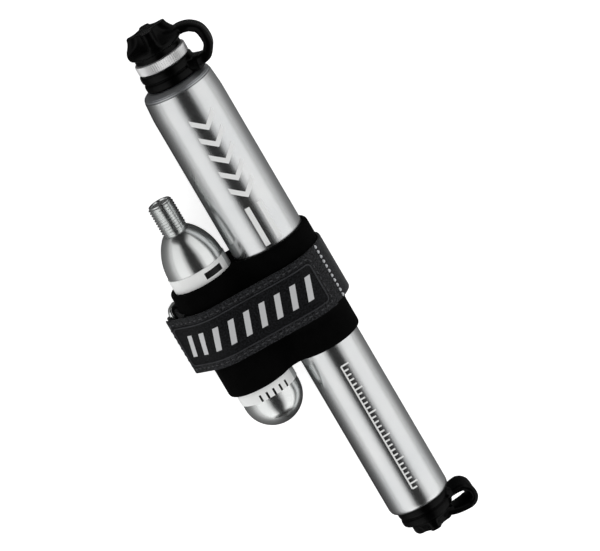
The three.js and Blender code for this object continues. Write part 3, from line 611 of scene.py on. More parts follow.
def makeTopCap(spec):
    low, high = boxOf("top_cap")
    top = low.x
    base = boxOf("hose_head")[0].x - 0.1
    lobe, flange, hub, rim = spec["lobe"], spec["flange"], spec["hub"], spec["rim"]
    rings = knobRings([
        (top + 0.05, lobe - 0.85, hub - 0.5), (top, lobe - 0.4, hub - 0.25), (top + 0.25, lobe - 0.05, hub),
        (top + 0.8, lobe + 0.05, hub + 0.1), (top + 1.6, lobe + 0.3, hub + 0.3),
        (top + 2.6, lobe + 0.85, hub + 0.8), (top + 3.5, lobe + 1.5, hub + 1.6),
        (top + 4.2, lobe + 2.05, hub + 2.7), (top + 4.8, flange - 0.35, hub + 3.8),
        (top + 5.3, flange - 0.1, hub + 4.8), (top + 5.8, flange, flange - 0.4), (top + 6.4, flange, flange),
        (top + 7.0, flange - 0.05, flange), (top + 7.5, flange - 0.4, flange),
        (top + 7.9, flange - 1.1, flange), (top + 8.2, rim - 0.1, flange), (base - 0.9, rim, flange),
        (base - 0.2, rim + 0.05, flange), (base, rim - 0.2, flange),
    ])
    first = rings[0]
    face = [scaledRing(first, share, top + spec["dish"] * (1 - share) ** 0.5) for share in (0.25, 0.5, 0.75)]
    tip = [(top + spec["dish"], pumpAxis[0], pumpAxis[1])]
    body = loft("capBody", [tip, *face, *rings], rubber)
    plug = turn("capPlug", [
        (base - 1, 0), (base - 1, spec["plug"]), (high.x, spec["plug"], 0.6), (high.x, 0),
    ], pumpAxis, rubber, 64)
    lugX = boxOf("top_tether")[0].x + 1.1
    arm = sweep("capArm", [
        ((lugX, pumpAxis[0] + 5.5, pumpAxis[1]), (0, 0, 1), 8.2, 3.6),
        ((lugX, pumpAxis[0] + 8.6, pumpAxis[1]), (0, 0, 1), 7.6, 3.2),
        ((lugX, pumpAxis[0] + 10.7, pumpAxis[1]), (0, 0, 1), 6.7, 2.7),
    ], rubber, 12)
    cap = melted("topCap", [body, plug, arm], rubber, 0.22, 3)
    place(cap, "top_cap", "black_rubber", "top_cap")


# The foot of the top boot's lug comes down on the collar.
topBootSpec = {"bead": 0.75, "edge": 0.9, "lugWidth": 10.0, "lugDrop": 2.2}
bottomBootSpec = {"bead": 0.75, "edge": 0.9, "lugWidth": 9.0, "lugDrop": 0.0}
topBootTurn = math.radians(28)      # the lug sits round to the front


# A station of a band that runs out from the pump's axis, turned about it from Y towards Z.
def radial(x, out, turned, width, thickness, lean=0.0):
    at = (x, pumpAxis[0] + out * math.cos(turned), pumpAxis[1] + out * math.sin(turned))
    return at, (math.tan(lean), -math.sin(turned), math.cos(turned)), width, thickness


# A boot with two round beads and a lug that the tether grows from.
def makeBoot(name, node, body, bore, lugX, reach, turned, spec):
    low, high = boxOf(node)
    radius = (high.z - low.z) / 2
    half = (high.x - low.x) / 2
    middle = low.x + half
    shell = turn("bootShell", [
        (low.x, bore), (low.x, radius - spec["bead"], 0.2), (low.x + 0.12 * half, radius, spec["edge"]),
        (middle - 0.16 * half, radius, spec["edge"]), (middle, radius - spec["bead"] * 1.3, 0.25),
        (middle + 0.16 * half, radius, spec["edge"]), (high.x - 0.12 * half, radius, spec["edge"]),
        (high.x, radius - spec["bead"], 0.2), (high.x, bore),
    ], pumpAxis, rubber, 128)
    wide, drop = spec["lugWidth"], spec["lugDrop"]
    lug = sweep("bootLug", [
        radial(lugX, bore + 0.5, turned, wide, 4.2),
        radial(lugX + drop / 3, (bore + reach) / 2, turned, wide - 1.0, 3.8 + drop * 2 / 3),
        radial(lugX + drop / 2, reach, turned, wide - 2.1, 3.1 + drop),
    ], rubber, 12)
    boot = melted(name, [shell, lug], rubber, 0.22, 3)
    place(boot, body, "black_rubber", node)


topTetherSpec = {"reach": 17.4, "width": 6.6, "thickness": 3.0, "lean": math.radians(14)}


# A flat band of the same rubber that leaves the cap, loops out and comes back to the boot.
def makeTopTether(spec):
    low, high = boxOf("top_tether")
    capX, bootX = low.x + 1.1, high.x - 1.3
    reach, wide, thick = spec["reach"], spec["width"], spec["thickness"]
    stations = []
    for x, out, share, more in [
        (capX, reach - 8.1, 0, 0.45), (capX + 0.1, reach - 5.8, 0.05, 0.2),
        (capX + 1.0, reach - 3.1, 0.15, 0.1), (capX + 3.0, reach - 0.9, 0.3, 0.1),
        (capX + 5.7, reach, 0.5, 0.4), (bootX - 2.7, reach - 0.1, 0.7, 0.4),
        (bootX - 0.3, reach - 1.6, 0.88, 0.5), (bootX + 0.5, reach - 3.6, 1, 0.8),
        (bootX + 0.6, reach - 5.6, 1, 1.0),
    ]:
        lean = spec["lean"] * math.sin(math.pi * share) ** 0.5
        stations.append(radial(x, out, topBootTurn * share, wide + more, thick + more, lean))
    band = sweep("topTether", stations, rubber, 84)
    place(band, None, "black_rubber", "top_tether")
    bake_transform(band)


bottomCapSpec = {"lobe": 7.6, "plug": 2.7}


def makeBottomCap(spec):
    low, high = boxOf("bottom_cap")
    bootEnd = boxOf("bottom_boot")[1].x
    end = high.x
    lobe = spec["lobe"]
    rings = knobRings([
        (bootEnd + 0.1, 7.0, 7.0), (bootEnd + 0.25, 7.5, 7.5), (bootEnd + 0.7, 7.75, 7.75),
        (bootEnd + 1.15, 7.7, 7.5), (bootEnd + 1.5, lobe, 6.6), (bootEnd + 2.1, lobe, 5.4),
        (end - 1.7, lobe - 0.05, 4.9), (end - 1.0, lobe - 0.3, 4.7), (end - 0.4, lobe - 0.8, 4.5),
        (end - 0.1, lobe - 1.3, 4.2), (end, lobe - 1.9, 3.9),
    ])
    last = rings[-1]
    face = [scaledRing(last, share, end - 0.35 * (1 - share) ** 0.5) for share in (0.75, 0.5, 0.25)]
    body = loft("capBody", [*rings, *face, [(end - 0.35, *pumpAxis)]], rubber)
    plug = turn("capPlug", [
        (low.x, 0), (low.x, spec["plug"], 0.4), (bootEnd + 1, spec["plug"]), (bootEnd + 1, 0),
    ], pumpAxis, rubber, 48)
    lugX = bottomTetherPlaces()[1]
    arm = sweep("capArm", [
        ((lugX, pumpAxis[0] + 4.0, pumpAxis[1]), (0, 0, 1), 7.4, 3.2),
        ((lugX, pumpAxis[0] + 6.5, pumpAxis[1]), (0, 0, 1), 7.0, 2.8),
        ((lugX, pumpAxis[0] + 8.6, pumpAxis[1]), (0, 0, 1), 6.3, 2.3),
    ], rubber, 12)
    cap = melted("bottomCap", [body, plug, arm], rubber, 0.2, 3)
    place(cap, "bottom_cap", "black_rubber", "bottom_cap")


def bottomTetherPlaces():
    boot, cap = boxOf("bottom_boot"), boxOf("bottom_cap")
    return (boot[0].x + boot[1].x) / 2, cap[1].x - 2.8


bottomTetherSpec = {"width": 7.0, "thickness": 2.8, "lean": math.radians(33)}


def makeBottomTether(spec):
    low, high = boxOf("bottom_tether")
    y, z = pumpAxis
    bootX, capX = bottomTetherPlaces()
    near, out = low.y - y, high.y - 1.4 - y
    stations = []
    for x, at, share, more in [
        (bootX + 0.1, near - 1.6, 0, 0.2), (bootX - 0.2, near + 1.0, 0.4, 0), (bootX - 0.4, out - 2.9, 0.9, 0),
        (bootX + 1.1, out - 0.8, 1, 0), (bootX + 3.3, out - 0.1, 1, 0), (capX + 0.3, out - 0.9, 1, 0.1),
        (capX + 1.3, out - 3.0, 0.9, 0.2), (capX + 1.2, near + 0.8, 0.4, 0.2), (capX + 0.4, near - 2.6, 0, 0.2),
    ]:
        stations.append(radial(x, at, 0, spec["width"], spec["thickness"] + more, spec["lean"] * share))
    band = sweep("bottomTether", stations, rubber, 84)
    place(band, None, "black_rubber", "bottom_tether")
    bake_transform(band)


makeTopCap(topCapSpec)
makeBoot("topBoot", "top_boot", "handle", 8.5, boxOf("top_tether")[1].x - 1.2, 12.7, topBootTurn, topBootSpec)
makeTopTether(topTetherSpec)
makeBoot("bottomBoot", "bottom_boot", "barrel", 8.45, bottomTetherPlaces()[0], 10.9, 0, bottomBootSpec)
makeBottomCap(bottomCapSpec)
makeBottomTether(bottomTetherSpec)
print("rubber made")


# ---- the hose head, of which the knurled ring shows

headSpec = {"teeth": 74, "depth": 0.26, "height": 3.9, "spigot": 6.2, "socket": 4.85}


def makeHoseHead(spec):
    low, high = boxOf("hose_head")
    radius = radiusOf("hose_head")
    end = low.x + spec["height"]
    segments = spec["teeth"] * 6
    ringPlan = [
        (low.x, -0.75, 0), (low.x + 0.12, -0.35, 0), (low.x + 0.3, -0.1, 0.5), (low.x + 0.55, 0, 1),
        (end - 0.55, 0, 1), (end - 0.3, -0.1, 0.5), (end - 0.12, -0.35, 0), (end, -0.7, 0),
    ]
    rings = []
    for x, inset, knurl in ringPlan:
        ring = []
        for i in range(segments):
            angle = tau * i / segments
            tooth = 1 - abs(1 - 2 * ((i * spec["teeth"] / segments) % 1))
            r = radius + inset - spec["depth"] * tooth * knurl
            ring.append((x, pumpAxis[0] + r * math.cos(angle), pumpAxis[1] + r * math.sin(angle)))
        rings.append(ring)
    spigot, socket = spec["spigot"], spec["socket"]
    barb, hole, barbStart, socketEnd = 2.3, 1.1, high.x - 6.5, low.x + 8
    for x, r in [
        (end, spigot), (barbStart, spigot), (barbStart, barb), (high.x, barb), (high.x, hole),
        (socketEnd, hole), (socketEnd, socket), (low.x + 0.4, socket), (low.x, socket + 0.4),
    ]:
        rings.append(roundRing(x, r, pumpAxis, segments))
    head = loft("hoseHead", rings, knurledMetal, True, 30)
    place(head, "hose", "bright_aluminium", "hose_head")


makeHoseHead(headSpec)
print("hose head made")


# ---- the gas cartridge

bottleSpec = {
    "thread": 4.8, "depth": 0.62, "pitch": 1.06, "threadLength": 11.66, "shoulder": 14.5, "neckBore": 3.3,
}


def makeBottle(spec):
    low, high = boxOf("cartridge_bottle")
    y, z = cartridgeAxis
    full = radiusOf("cartridge_bottle")
    segments = 144
    neckEnd = low.x + spec["threadLength"]
    rows = int(spec["threadLength"] / spec["pitch"] * 10)
    bore, root = spec["neckBore"], spec["thread"] - spec["depth"]

    def circle(x, r):
        return roundRing(x, r, cartridgeAxis, segments)

    rings = [[(low.x + 1.0, y, z)], circle(low.x + 1.0, bore - 0.02), circle(low.x + 0.15, bore)]
    rings += [circle(low.x, bore + 0.15), circle(low.x, root - 0.15)]
    for row in range(rows + 1):
        x = low.x + 0.12 + (spec["threadLength"] - 0.12) * row / rows
        ring = []
        for i in range(segments):
            turnShare = (x - low.x) / spec["pitch"] - i / segments
            ridge = 1 - abs(2 * (turnShare % 1) - 1)
            ridge = min(max((ridge - 0.06) / 0.86, 0), 1)
            fade = min(1, (x - low.x) / 0.9, (neckEnd - x) / 0.7)
            r = root + spec["depth"] * ridge * max(fade, 0)
            angle = tau * i / segments
            ring.append((x, y + r * math.cos(angle), z + r * math.sin(angle)))
        rings.append(ring)
    neck = spec["thread"] - 0.1
    rings.append(circle(neckEnd + 0.1, neck - 0.25))
    for share in [0.02, 0.05, 0.09, 0.14, 0.2, 0.27, 0.35, 0.43, 0.52, 0.61, 0.7, 0.8, 0.9, 1.0]:
        rise = math.sin(0.5 * math.pi * share ** 0.78)
        rings.append(circle(neckEnd + share * spec["shoulder"], neck + (full - neck) * rise))
    for degrees in range(0, 90, 6):
        angle = math.radians(degrees)
        rings.append(circle(high.x - full + full * math.sin(angle), full * math.cos(angle)))
    rings.append([(high.x, y, z)])
    bottle = loft("cartridgeBottle", rings, plate, False, 50)
    place(bottle, "cartridge", "cartridge_steel", "cartridge_bottle")
    disc = turn("cartridgeDisc", [
        (low.x + 0.95, 0), (low.x + 0.7, 2.2, 0.4), (low.x + 0.45, 3.1, 0.3), (low.x + 0.95, 3.1),
        (low.x + 1.1, 0),
    ], cartridgeAxis, plate, 64, 40, False)
    place(disc, "cartridge", "cartridge_steel", "cartridge_disc")


# Printed film: white, with one solid block and a row of ticks, and a grey panel.
def printedFilm(spec):
    material, tree, shader = newMaterial("printed film", {"Roughness": 0.36, "Specular IOR Level": 0.25})
    where = addNode(tree, "ShaderNodeTexCoord").outputs["Object"]
    part = addNode(tree, "ShaderNodeSeparateXYZ", None, {"Vector": where})
    along = part.outputs[0]
    offY = calc(tree, "SUBTRACT", part.outputs[1], cartridgeAxis[0] * mm)
    offZ = calc(tree, "SUBTRACT", part.outputs[2], cartridgeAxis[1] * mm)
    angle = calc(tree, "ARCTAN2", offY, offZ)

    def within(value, low, high):
        above, below = calc(tree, "GREATER_THAN", value, low), calc(tree, "LESS_THAN", value, high)
        return calc(tree, "MULTIPLY", above, below)

    low, high = boxOf("cartridge_label")
    start, end = low.x * mm, high.x * mm
    blockStart, blockEnd = (start + place * mm for place in spec["block"])
    block = calc(tree, "MULTIPLY", within(angle, *spec["blockAngle"]), within(along, blockStart, blockEnd))
    pitch = calc(tree, "FRACT", calc(tree, "MULTIPLY", angle, spec["ticksPerTurn"] / tau))
    ticks = calc(tree, "MULTIPLY", within(pitch, 0.0, spec["tickShare"]), within(angle, *spec["tickAngle"]))
    ticks = calc(tree, "MULTIPLY", ticks, within(along, end - spec["tickLength"] * mm, end))
    ground = mixColour(tree, within(angle, *spec["panelAngle"]), "#f4f5f4", "#b4b7b7")
    colour = mixColour(tree, calc(tree, "MAXIMUM", block, ticks), ground, "#020202")
    tree.links.new(colour, shader.inputs["Base Color"])
    return material


labelSpec = {
    "block": (1.6, 4.0), "blockAngle": (0.0, 0.66), "ticksPerTurn": 26, "tickShare": 0.3,
    "tickAngle": (-0.6, 0.7), "tickLength": 2.6, "panelAngle": (0.95, 2.2), "film": 0.13, "lapLift": 0.06,
}


def makeLabel(spec):
    low, high = boxOf("cartridge_label")
    y, z = cartridgeAxis
    radius = radiusOf("cartridge_label")
    inner = radius - spec["film"]
    segments = 150
    rings = []
    sections = [(low.x, inner), (low.x, radius), (high.x, radius), (high.x, inner)]
    for i in range(segments + 1):
        angle = spec["panelAngle"][0] + (tau + 0.12) * i / segments
        rise = spec["lapLift"] * min(1, max(0, (i / segments - 0.94) / 0.04))
        sine, cosine = math.sin(angle), math.cos(angle)
        rings.append([(x, y + (r + rise) * sine, z + (r + rise) * cosine) for x, r in sections])
    label = loft("cartridgeLabel", rings, printedFilm(spec), False, 30)
    place(label, "cartridge", "label_film", "cartridge_label")


makeBottle(bottleSpec)
makeLabel(labelSpec)
print("cartridge made")


# ---- paths round the pump and the cartridge, in the YZ plane

strapSpec = {
    "thickness": 0.9, "gap": 0.15, "wire": 2.4, "bandWidth": 21.6, "flapWidth": 22.0, "foldWidth": 19.4,
    "flapEnd": 8.4, "patchWidth": 16.4, "patchThickness": 0.5, "ringShift": -1.9,
    "ringCorner": 2.2, "valley": 5.0,
}
sleeveLow, sleeveHigh = boxOf("sleeve")
sleevePump = sleeveHigh.y - pumpAxis[0]
sleeveBottle = cartridgeAxis[0] - sleeveLow.y
pumpCentre, bottleCentre = Vector(pumpAxis), Vector(cartridgeAxis)
peel = [joint for joint in frame["joints"] if joint["name"] == "strap_peel"][0]
outerBar = Vector(peel["pos_m"][1:]) / mm
ringLow, ringHigh = boxOf("strap_ring")
innerBar = Vector((ringHigh.y - strapSpec["wire"] / 2, ringLow.z + strapSpec["wire"] / 2))
layer = strapSpec["thickness"] + strapSpec["gap"]


def angleOf(v):
    return math.atan2(v.y, v.x)


# The direction of the line's outer side where a taut strip runs from one round to the next.
def contact(a, b):
    gap = b[0] - a[0]
    return angleOf(gap) - math.acos((a[2] * a[1] - b[2] * b[1]) / gap.length)


def arcPoints(wrap, start, end):
    centre, radius, way = wrap
    sweepAngle = way * ((way * (end - start)) % tau)
    steps = max(2, round(abs(sweepAngle) / math.radians(3 if radius > 4 else 12)))
    angles = [start + sweepAngle * i / steps for i in range(steps + 1)]
    return [centre + Vector((math.cos(angle), math.sin(angle))) * radius for angle in angles]


def beltPath(wraps, start, end):
    points = []
    for i, wrap in enumerate(wraps):
        if i + 1 < len(wraps):
            normal = contact(wrap, wraps[i + 1])
            points += arcPoints(wrap, start, normal + (math.pi if wrap[2] < 0 else 0))
            start = normal + (math.pi if wraps[i + 1][2] < 0 else 0)
        else:
            points += arcPoints(wrap, start, end)
    return points


def roundPump(lift, way=1):
    return (pumpCentre, sleevePump + strapSpec["gap"] + lift, way)


def roundBottle(lift, way=1):
    return (bottleCentre, sleeveBottle + strapSpec["gap"] + lift, way)


def roundBar(centre, lift, way):
    return (centre, strapSpec["wire"] / 2 + strapSpec["gap"] + lift, way)


# A path with even steps that gives a place and an outward direction at any length along it.
class Route:
    def __init__(self, points, outward):
        self.points, self.outward = points, outward
        self.lengths = [0.0]
        for a, b in zip(points, points[1:]):
            self.lengths.append(self.lengths[-1] + (b - a).length)
        self.total = self.lengths[-1]

    def at(self, length):
        length = min(max(length, 0), self.total)
        i = max(k for k, l in enumerate(self.lengths[:-1]) if l <= length + 1e-9)
        step = self.lengths[i + 1] - self.lengths[i]
        return self.points[i].lerp(self.points[i + 1], (length - self.lengths[i]) / max(step, 1e-9))

    def out(self, length):
        ahead, behind = self.at(length + 0.6), self.at(length - 0.6)
        along = (ahead - behind).normalized()
        return Vector((along.y, -along.x)) * self.outward

    def point(self, length, across, lift=0.0):
        flat = self.at(length) + self.out(length) * lift
        return Vector((across, flat.x, flat.y))


# A woven strip: its section is flat with thin round selvedges.
def strip(name, route, start, end, sides, thickness, finish, endSoft=0.0):
    left, right = sides
    step, selvedge = 0.7, 0.35
    count = max(3, int((end - start) / step))
    half = thickness / 2
    flat = right - left - 2 * selvedge
    section = [(left + selvedge + flat * i / 24, half) for i in range(25)]
    section += [(right - 0.1, half * 0.8), (right, 0), (right - 0.1, -half * 0.8)]
    section += [(right - selvedge - flat * i / 24, -half) for i in range(25)]
    section += [(left + 0.1, -half * 0.8), (left, 0), (left + 0.1, half * 0.8)]
    rings = []
    for i in range(count + 1):
        length = start + (end - start) * i / count
        near = min(length - start, end - length)
        pinch = 1 - endSoft * max(0, 1 - near / 0.8)
        rings.append([route.point(length, across, lift * pinch) for across, lift in section])
    return loft(name, rings, finish, False, 60)


def makeStrap(spec):
    thick = spec["thickness"]
    half = thick / 2
    join, fold = math.radians(262), math.radians(158)
    nudge = 0.2 / sleeveBottle
    wraps = [roundBottle(half), roundPump(half), roundBottle(half)]
    band = Route(beltPath(wraps, join + nudge, fold), 1)
    side = spec["bandWidth"] / 2
    strap = strip("strapBand", band, 0, band.total, (-side, side), thick, webbing)
    place(strap, "barrel", "webbing", "strap_band")
    side = spec["foldWidth"] / 2
    sides = (spec["ringShift"] - side, spec["ringShift"] + side)
    loop = Route(beltPath([roundBar(innerBar, half, 1), roundBottle(half)], math.radians(350), join), 1)
    tapeLoop = strip("ringLoop", loop, 0, loop.total, sides, thick, tape)
    place(tapeLoop, "barrel", "webbing", "ring_loop")
    wraps = [roundBottle(half), roundBar(outerBar, half, -1)]
    turned = Route(beltPath(wraps, fold + nudge, math.radians(120)), 1)
    tapeFold = strip("strapFold", turned, 0, turned.total, sides, thick, tape)
    place(tapeFold, "barrel", "webbing", "strap_fold")
    return band


def flapRoute(lift):
    out = layer + lift
    wraps = [roundBar(outerBar, out, -1), roundBottle(out, -1), roundPump(out, -1)]
    end = math.acos(strapSpec["flapEnd"] / wraps[2][1])
    return Route(beltPath(wraps, math.radians(185), end), -1)


def makeFlap(spec):
    half = spec["thickness"] / 2
    route = flapRoute(half)
    side = spec["flapWidth"] / 2
    flap = strip("strapFlap", route, 0, route.total, (-side, side), spec["thickness"], webbing, 0.3)
    place(flap, "strap_flap", "webbing", "strap_flap")
    return flapRoute(spec["thickness"])


# A raised patch with a woven grain and a round border bead, on the flap.
def makePatch(spec, top):
    start, end = 2.4, top.total - 1.6
    side = spec["patchWidth"] / 2
    patch = strip("patchField", top, start, end, (-side, side), spec["patchThickness"], patchGrain, 0.5)
    outline = roundedRectangle(start + 0.5, end - 0.5, side - 0.5, 1.6)
    bead = beadOn("patchBead", top, outline, 0.26, 0.3, edgeRubber)
    place(patch, "strap_flap", "patch_rubber", "strap_patch")
    place(bead, "strap_flap", "patch_rubber")


# The points of a rectangle with round corners, from its low to its high places.
def roundCorners(low, high, corner):
    points = []
    near, far = (low[0] + corner, low[1] + corner), (high[0] - corner, high[1] - corner)
    for quarter, (u, w) in enumerate([far, (near[0], far[1]), near, (far[0], near[1])]):
        for i in range(9):
            angle = (quarter + i / 8) * math.pi / 2
            points.append((u + corner * math.cos(angle), w + corner * math.sin(angle)))
    return points


def roundedRectangle(start, end, side, corner):
    points = roundCorners((start, -side), (end, side), corner)
    dense = []
    for (u0, w0), (u1, w1) in zip(points, points[1:] + points[:1]):
        parts = max(1, int(math.hypot(u1 - u0, w1 - w0) / 0.8))
        dense += [(u0 + (u1 - u0) * k / parts, w0 + (w1 - w0) * k / parts) for k in range(parts)]
    return dense


# A ring of points across a rod, between two directions.
def acrossRod(at, first, second, radius, count):
    turns = [tau * k / count for k in range(count)]
    return [at + (first * math.cos(angle) + second * math.sin(angle)) * radius for angle in turns]


def beadOn(name, route, outline, radius, lift, finish):
    rings = []
    places = [route.point(u, w, lift) for u, w in outline]
    for i, at in enumerate(places):
        along = (places[(i + 1) % len(places)] - places[i - 1]).normalized()
        out = Vector((0, *route.out(outline[i][0])))
        across = along.cross(out).normalized()
        rings.append(acrossRod(at, across, out, radius, 10))
    return loft(name, rings, finish, True, 180)


# Stitches: short thread capsules that dip into the cloth at both ends.
def stitches(name, route, places, length, radius, finish, lift=0.1):
    points, faces = [], []
    for u, w, turnAngle in places:
        out = Vector((0, *route.out(u)))
        along = (route.point(u + 0.3, w) - route.point(u - 0.3, w)).normalized()
        side = Vector((1, 0, 0))
        run = along * math.cos(turnAngle) + side * math.sin(turnAngle)
        across = run.cross(out)
        base = len(points)
        sections = 8
        for i in range(sections + 1):
            t = -1 + 2 * i / sections
            r = radius * math.sqrt(max(1 - t * t, 0.04))
            middle = route.point(u, w, lift) + run * (t * length / 2) - out * (0.5 * radius * t * t)
            points += [point * mm for point in acrossRod(middle, across, out, r, 8)]
        for i in range(sections):
            for k in range(8):
                a, b = base + i * 8 + k, base + i * 8 + (k + 1) % 8
                faces.append((a, b, b + 8, a + 8))
        faces.append([base + k for k in range(8)][::-1])
        faces.append([base + sections * 8 + k for k in range(8)])
    mesh = bpy.data.meshes.new(name)
    mesh.from_pydata(points, [], faces)
    return finishMesh(name, mesh, finish, 180)


def makeStitches(spec, band, top):
    half = spec["thickness"] / 2
    target = pumpCentre + Vector((11.6, math.sqrt((sleevePump + spec["gap"] + half) ** 2 - 11.6 ** 2)))
    lengths = [k * 0.2 for k in range(int(band.total / 0.2))]
    u = min(lengths, key=lambda length: (band.at(length) - target).length)
    count = 11
    row = [(u, (k - (count - 1) / 2) * 1.98, math.pi / 2) for k in range(count)]
    seam = stitches("strapStitches", band, row, 1.5, 0.5, greyThread, half + 0.05)
    place(seam, "barrel", "webbing")
    border = roundedRectangle(1.2, top.total - 0.8, spec["patchWidth"] / 2 + 1.0, 2.2)
    ring, last = [], None
    for (u0, w0), (u1, w1) in zip(border, border[1:] + border[:1]):
        if last is not None and math.hypot(u0 - last[0], w0 - last[1]) < 1.9:
            continue
        ring.append((u0, w0, math.atan2(w1 - w0, u1 - u0)))
        last = (u0, w0)
    thread = stitches("patchStitches", top, ring, 1.35, 0.24, blackThread, 0.03)
    place(thread, "strap_flap", "webbing")


def makeRing(spec):
    wire = spec["wire"]
    inside = spec["foldWidth"] / 2 + 0.4
    span = (outerBar - innerBar).length
    across = Vector((0, outerBar.x - innerBar.x, outerBar.y - innerBar.y)).normalized()
    middle = Vector((spec["ringShift"], (outerBar.x + innerBar.x) / 2, (outerBar.y + innerBar.y) / 2))
    side = Vector((1, 0, 0))
    normal = side.cross(across)
    x, y = inside + wire / 2, span / 2
    outline = roundCorners((-x, -y), (x, y), spec["ringCorner"])
    rings = []
    for i, (a, b) in enumerate(outline):
        a1, b1 = outline[(i + 1) % len(outline)]
        a0, b0 = outline[i - 1]
        along = (side * (a1 - a0) + across * (b1 - b0)).normalized()
        at = middle + side * a + across * b
        out = along.cross(normal)
        rings.append(acrossRod(at, out, normal, wire / 2, 20))
    ring = loft("strapRing", rings, plate, True, 180)
    place(ring, "barrel", "ring_steel", "strap_ring")


bandRoute = makeStrap(strapSpec)
patchTop = makeFlap(strapSpec)
makePatch(strapSpec, patchTop)
makeStitches(strapSpec, bandRoute, patchTop)
makeRing(strapSpec)
print("strap made")


# ---- the sleeve

sleeveSpec = {"lowerWall": 1.4, "stepStart": 9.4, "stepEnd": 14.0, "voxel": 0.38}


def sleeveOutline(pumpRadius, bottleRadius, count=220):
    toPump, toBottle = pumpRadius + strapSpec["valley"], bottleRadius + strapSpec["valley"]
    gap = pumpCentre - bottleCentre
    along = (toBottle ** 2 - toPump ** 2 + gap.length_squared) / (2 * gap.length)
    up = math.sqrt(toBottle ** 2 - along ** 2)
    unit = gap.normalized()
    middle = bottleCentre + unit * along + Vector((-unit.y, unit.x)) * up
    pump, bottle = (pumpCentre, pumpRadius, 1), (bottleCentre, bottleRadius, 1)
    back = contact(bottle, pump)
    onPump, onBottle = angleOf(middle - pumpCentre), angleOf(middle - bottleCentre)
    points = arcPoints(pump, back, onPump)
    points += arcPoints((middle, strapSpec["valley"], -1), onPump + math.pi, onBottle + math.pi)[1:]
    points += arcPoints(bottle, onBottle, back)[1:]
    route = Route(points + points[:1], 1)
    return [route.at(route.total * i / count) for i in range(count)]


def boreTool(start, end, radius, axis):
    return turn("tool", [(start, 0), (start, radius), (end, radius), (end, 0)], axis, neoprene, 96)


def makeSleeve(spec):
    low, high = sleeveLow, sleeveHigh
    handle, barrel = radiusOf("handle_tube"), radiusOf("barrel_tube")
    lower = barrel + 0.2 + spec["lowerWall"]
    handleEnd = boxOf("handle_tube")[1].x
    rings = []
    for i in range(57):
        x = low.x + (high.x - low.x) * i / 56
        t = min(max((x - spec["stepStart"]) / (spec["stepEnd"] - spec["stepStart"]), 0), 1)
        ease = t * t * (3 - 2 * t)
        edge = 0.35 * max(0, 1 - min(x - low.x, high.x - x) / 0.6)
        outline = sleeveOutline(sleevePump + (lower - sleevePump) * ease - edge, sleeveBottle - edge)
        rings.append([(x, p.x, p.y) for p in outline])
    body = loft("sleeveBody", rings, neoprene)
    bottle = radiusOf("cartridge_label") + 0.1
    tools = [
        boreTool(low.x - 1, handleEnd + 0.6, handle + 0.15, pumpAxis),
        boreTool(0, high.x + 1, barrel + 0.12, pumpAxis),
        boreTool(low.x - 1, high.x + 1, bottle, cartridgeAxis),
    ]
    for tool in tools:
        cutter = body.modifiers.new("bore", "BOOLEAN")
        cutter.operation, cutter.object, cutter.solver = "DIFFERENCE", tool, "EXACT"
    bpy.context.view_layer.update()
    applied(body)
    for tool in tools:
        bpy.data.objects.remove(tool)
    sleeve = melted("sleeve", [body], neoprene, spec["voxel"], 4)
    place(sleeve, "barrel", "neoprene", "sleeve")


makeSleeve(sleeveSpec)
print("sleeve made")


# ---- plain printed marks, wrapped on the tubes and the patch

# Each mark is four corners (along, across) in mm, laid on a surface given by a function.
def marks(name, quads, onSurface, finish, grid=8):
    points, faces = [], []
    for corners in quads:
        a, b, c, d = [Vector(corner) for corner in corners]
        base = len(points)
        for lift in (0.0, 0.05):
            for i in range(grid + 1):
                for k in range(grid + 1):
                    spot = a.lerp(b, i / grid).lerp(d.lerp(c, i / grid), k / grid)
                    points.append(onSurface(spot.x, spot.y, lift) * mm)
        layerSize = (grid + 1) ** 2

        def index(i, k, level):
            return base + level * layerSize + i * (grid + 1) + k

        for i in range(grid):
            for k in range(grid):
                faces.append((index(i, k, 1), index(i + 1, k, 1), index(i + 1, k + 1, 1), index(i, k + 1, 1)))
                faces.append((index(i, k, 0), index(i, k + 1, 0), index(i + 1, k + 1, 0), index(i + 1, k, 0)))
            for k in (0, grid):
                faces.append((index(i, k, 0), index(i + 1, k, 0), index(i + 1, k, 1), index(i, k, 1)))
                faces.append((index(k, i, 0), index(k, i + 1, 0), index(k, i + 1, 1), index(k, i, 1)))
    mesh = bpy.data.meshes.new(name)
    mesh.from_pydata(points, [], faces)
    return finishMesh(name, mesh, finish, 30)


def onTube(radius):
    def spot(along, across, lift):
        angle = across / radius
        r = radius + 0.01 + lift
        return Vector((along, pumpAxis[0] + r * math.sin(angle), pumpAxis[1] + r * math.cos(angle)))
    return spot


def onRoute(route):
    def spot(along, across, lift):
        return route.point(along, across, 0.26 + lift)
    return spot


def chevron(along, middle, reach, height, thick):
    tip = (along + reach, middle)
    quads = []
    for side in (-1, 1):
        edge = middle + side * height
        quads.append([(along, edge), tip, (tip[0] + thick, middle), (along + thick, edge)])
    return quads


def bar(left, right, low, high):
    return [(left, low), (right, low), (right, high), (left, high)]


chevronSpec = {"count": 5, "pitch": 7.0, "middle": 0.4, "reach": 4.1, "height": 4.8, "thick": 2.3}
stripeSpec = {"start": 37.5, "end": 53, "apart": 2.5, "half": 0.95}
scaleSpec = {"line": -1.9, "thick": 0.55, "ticks": 27, "pitch": 2, "half": 0.3, "long": 3.4, "short": 2.2}
slantSpec = {"count": 9, "start": 5.5, "pitch": 6.2, "half": 4.2, "thick": 2.3, "slant": 3.0}


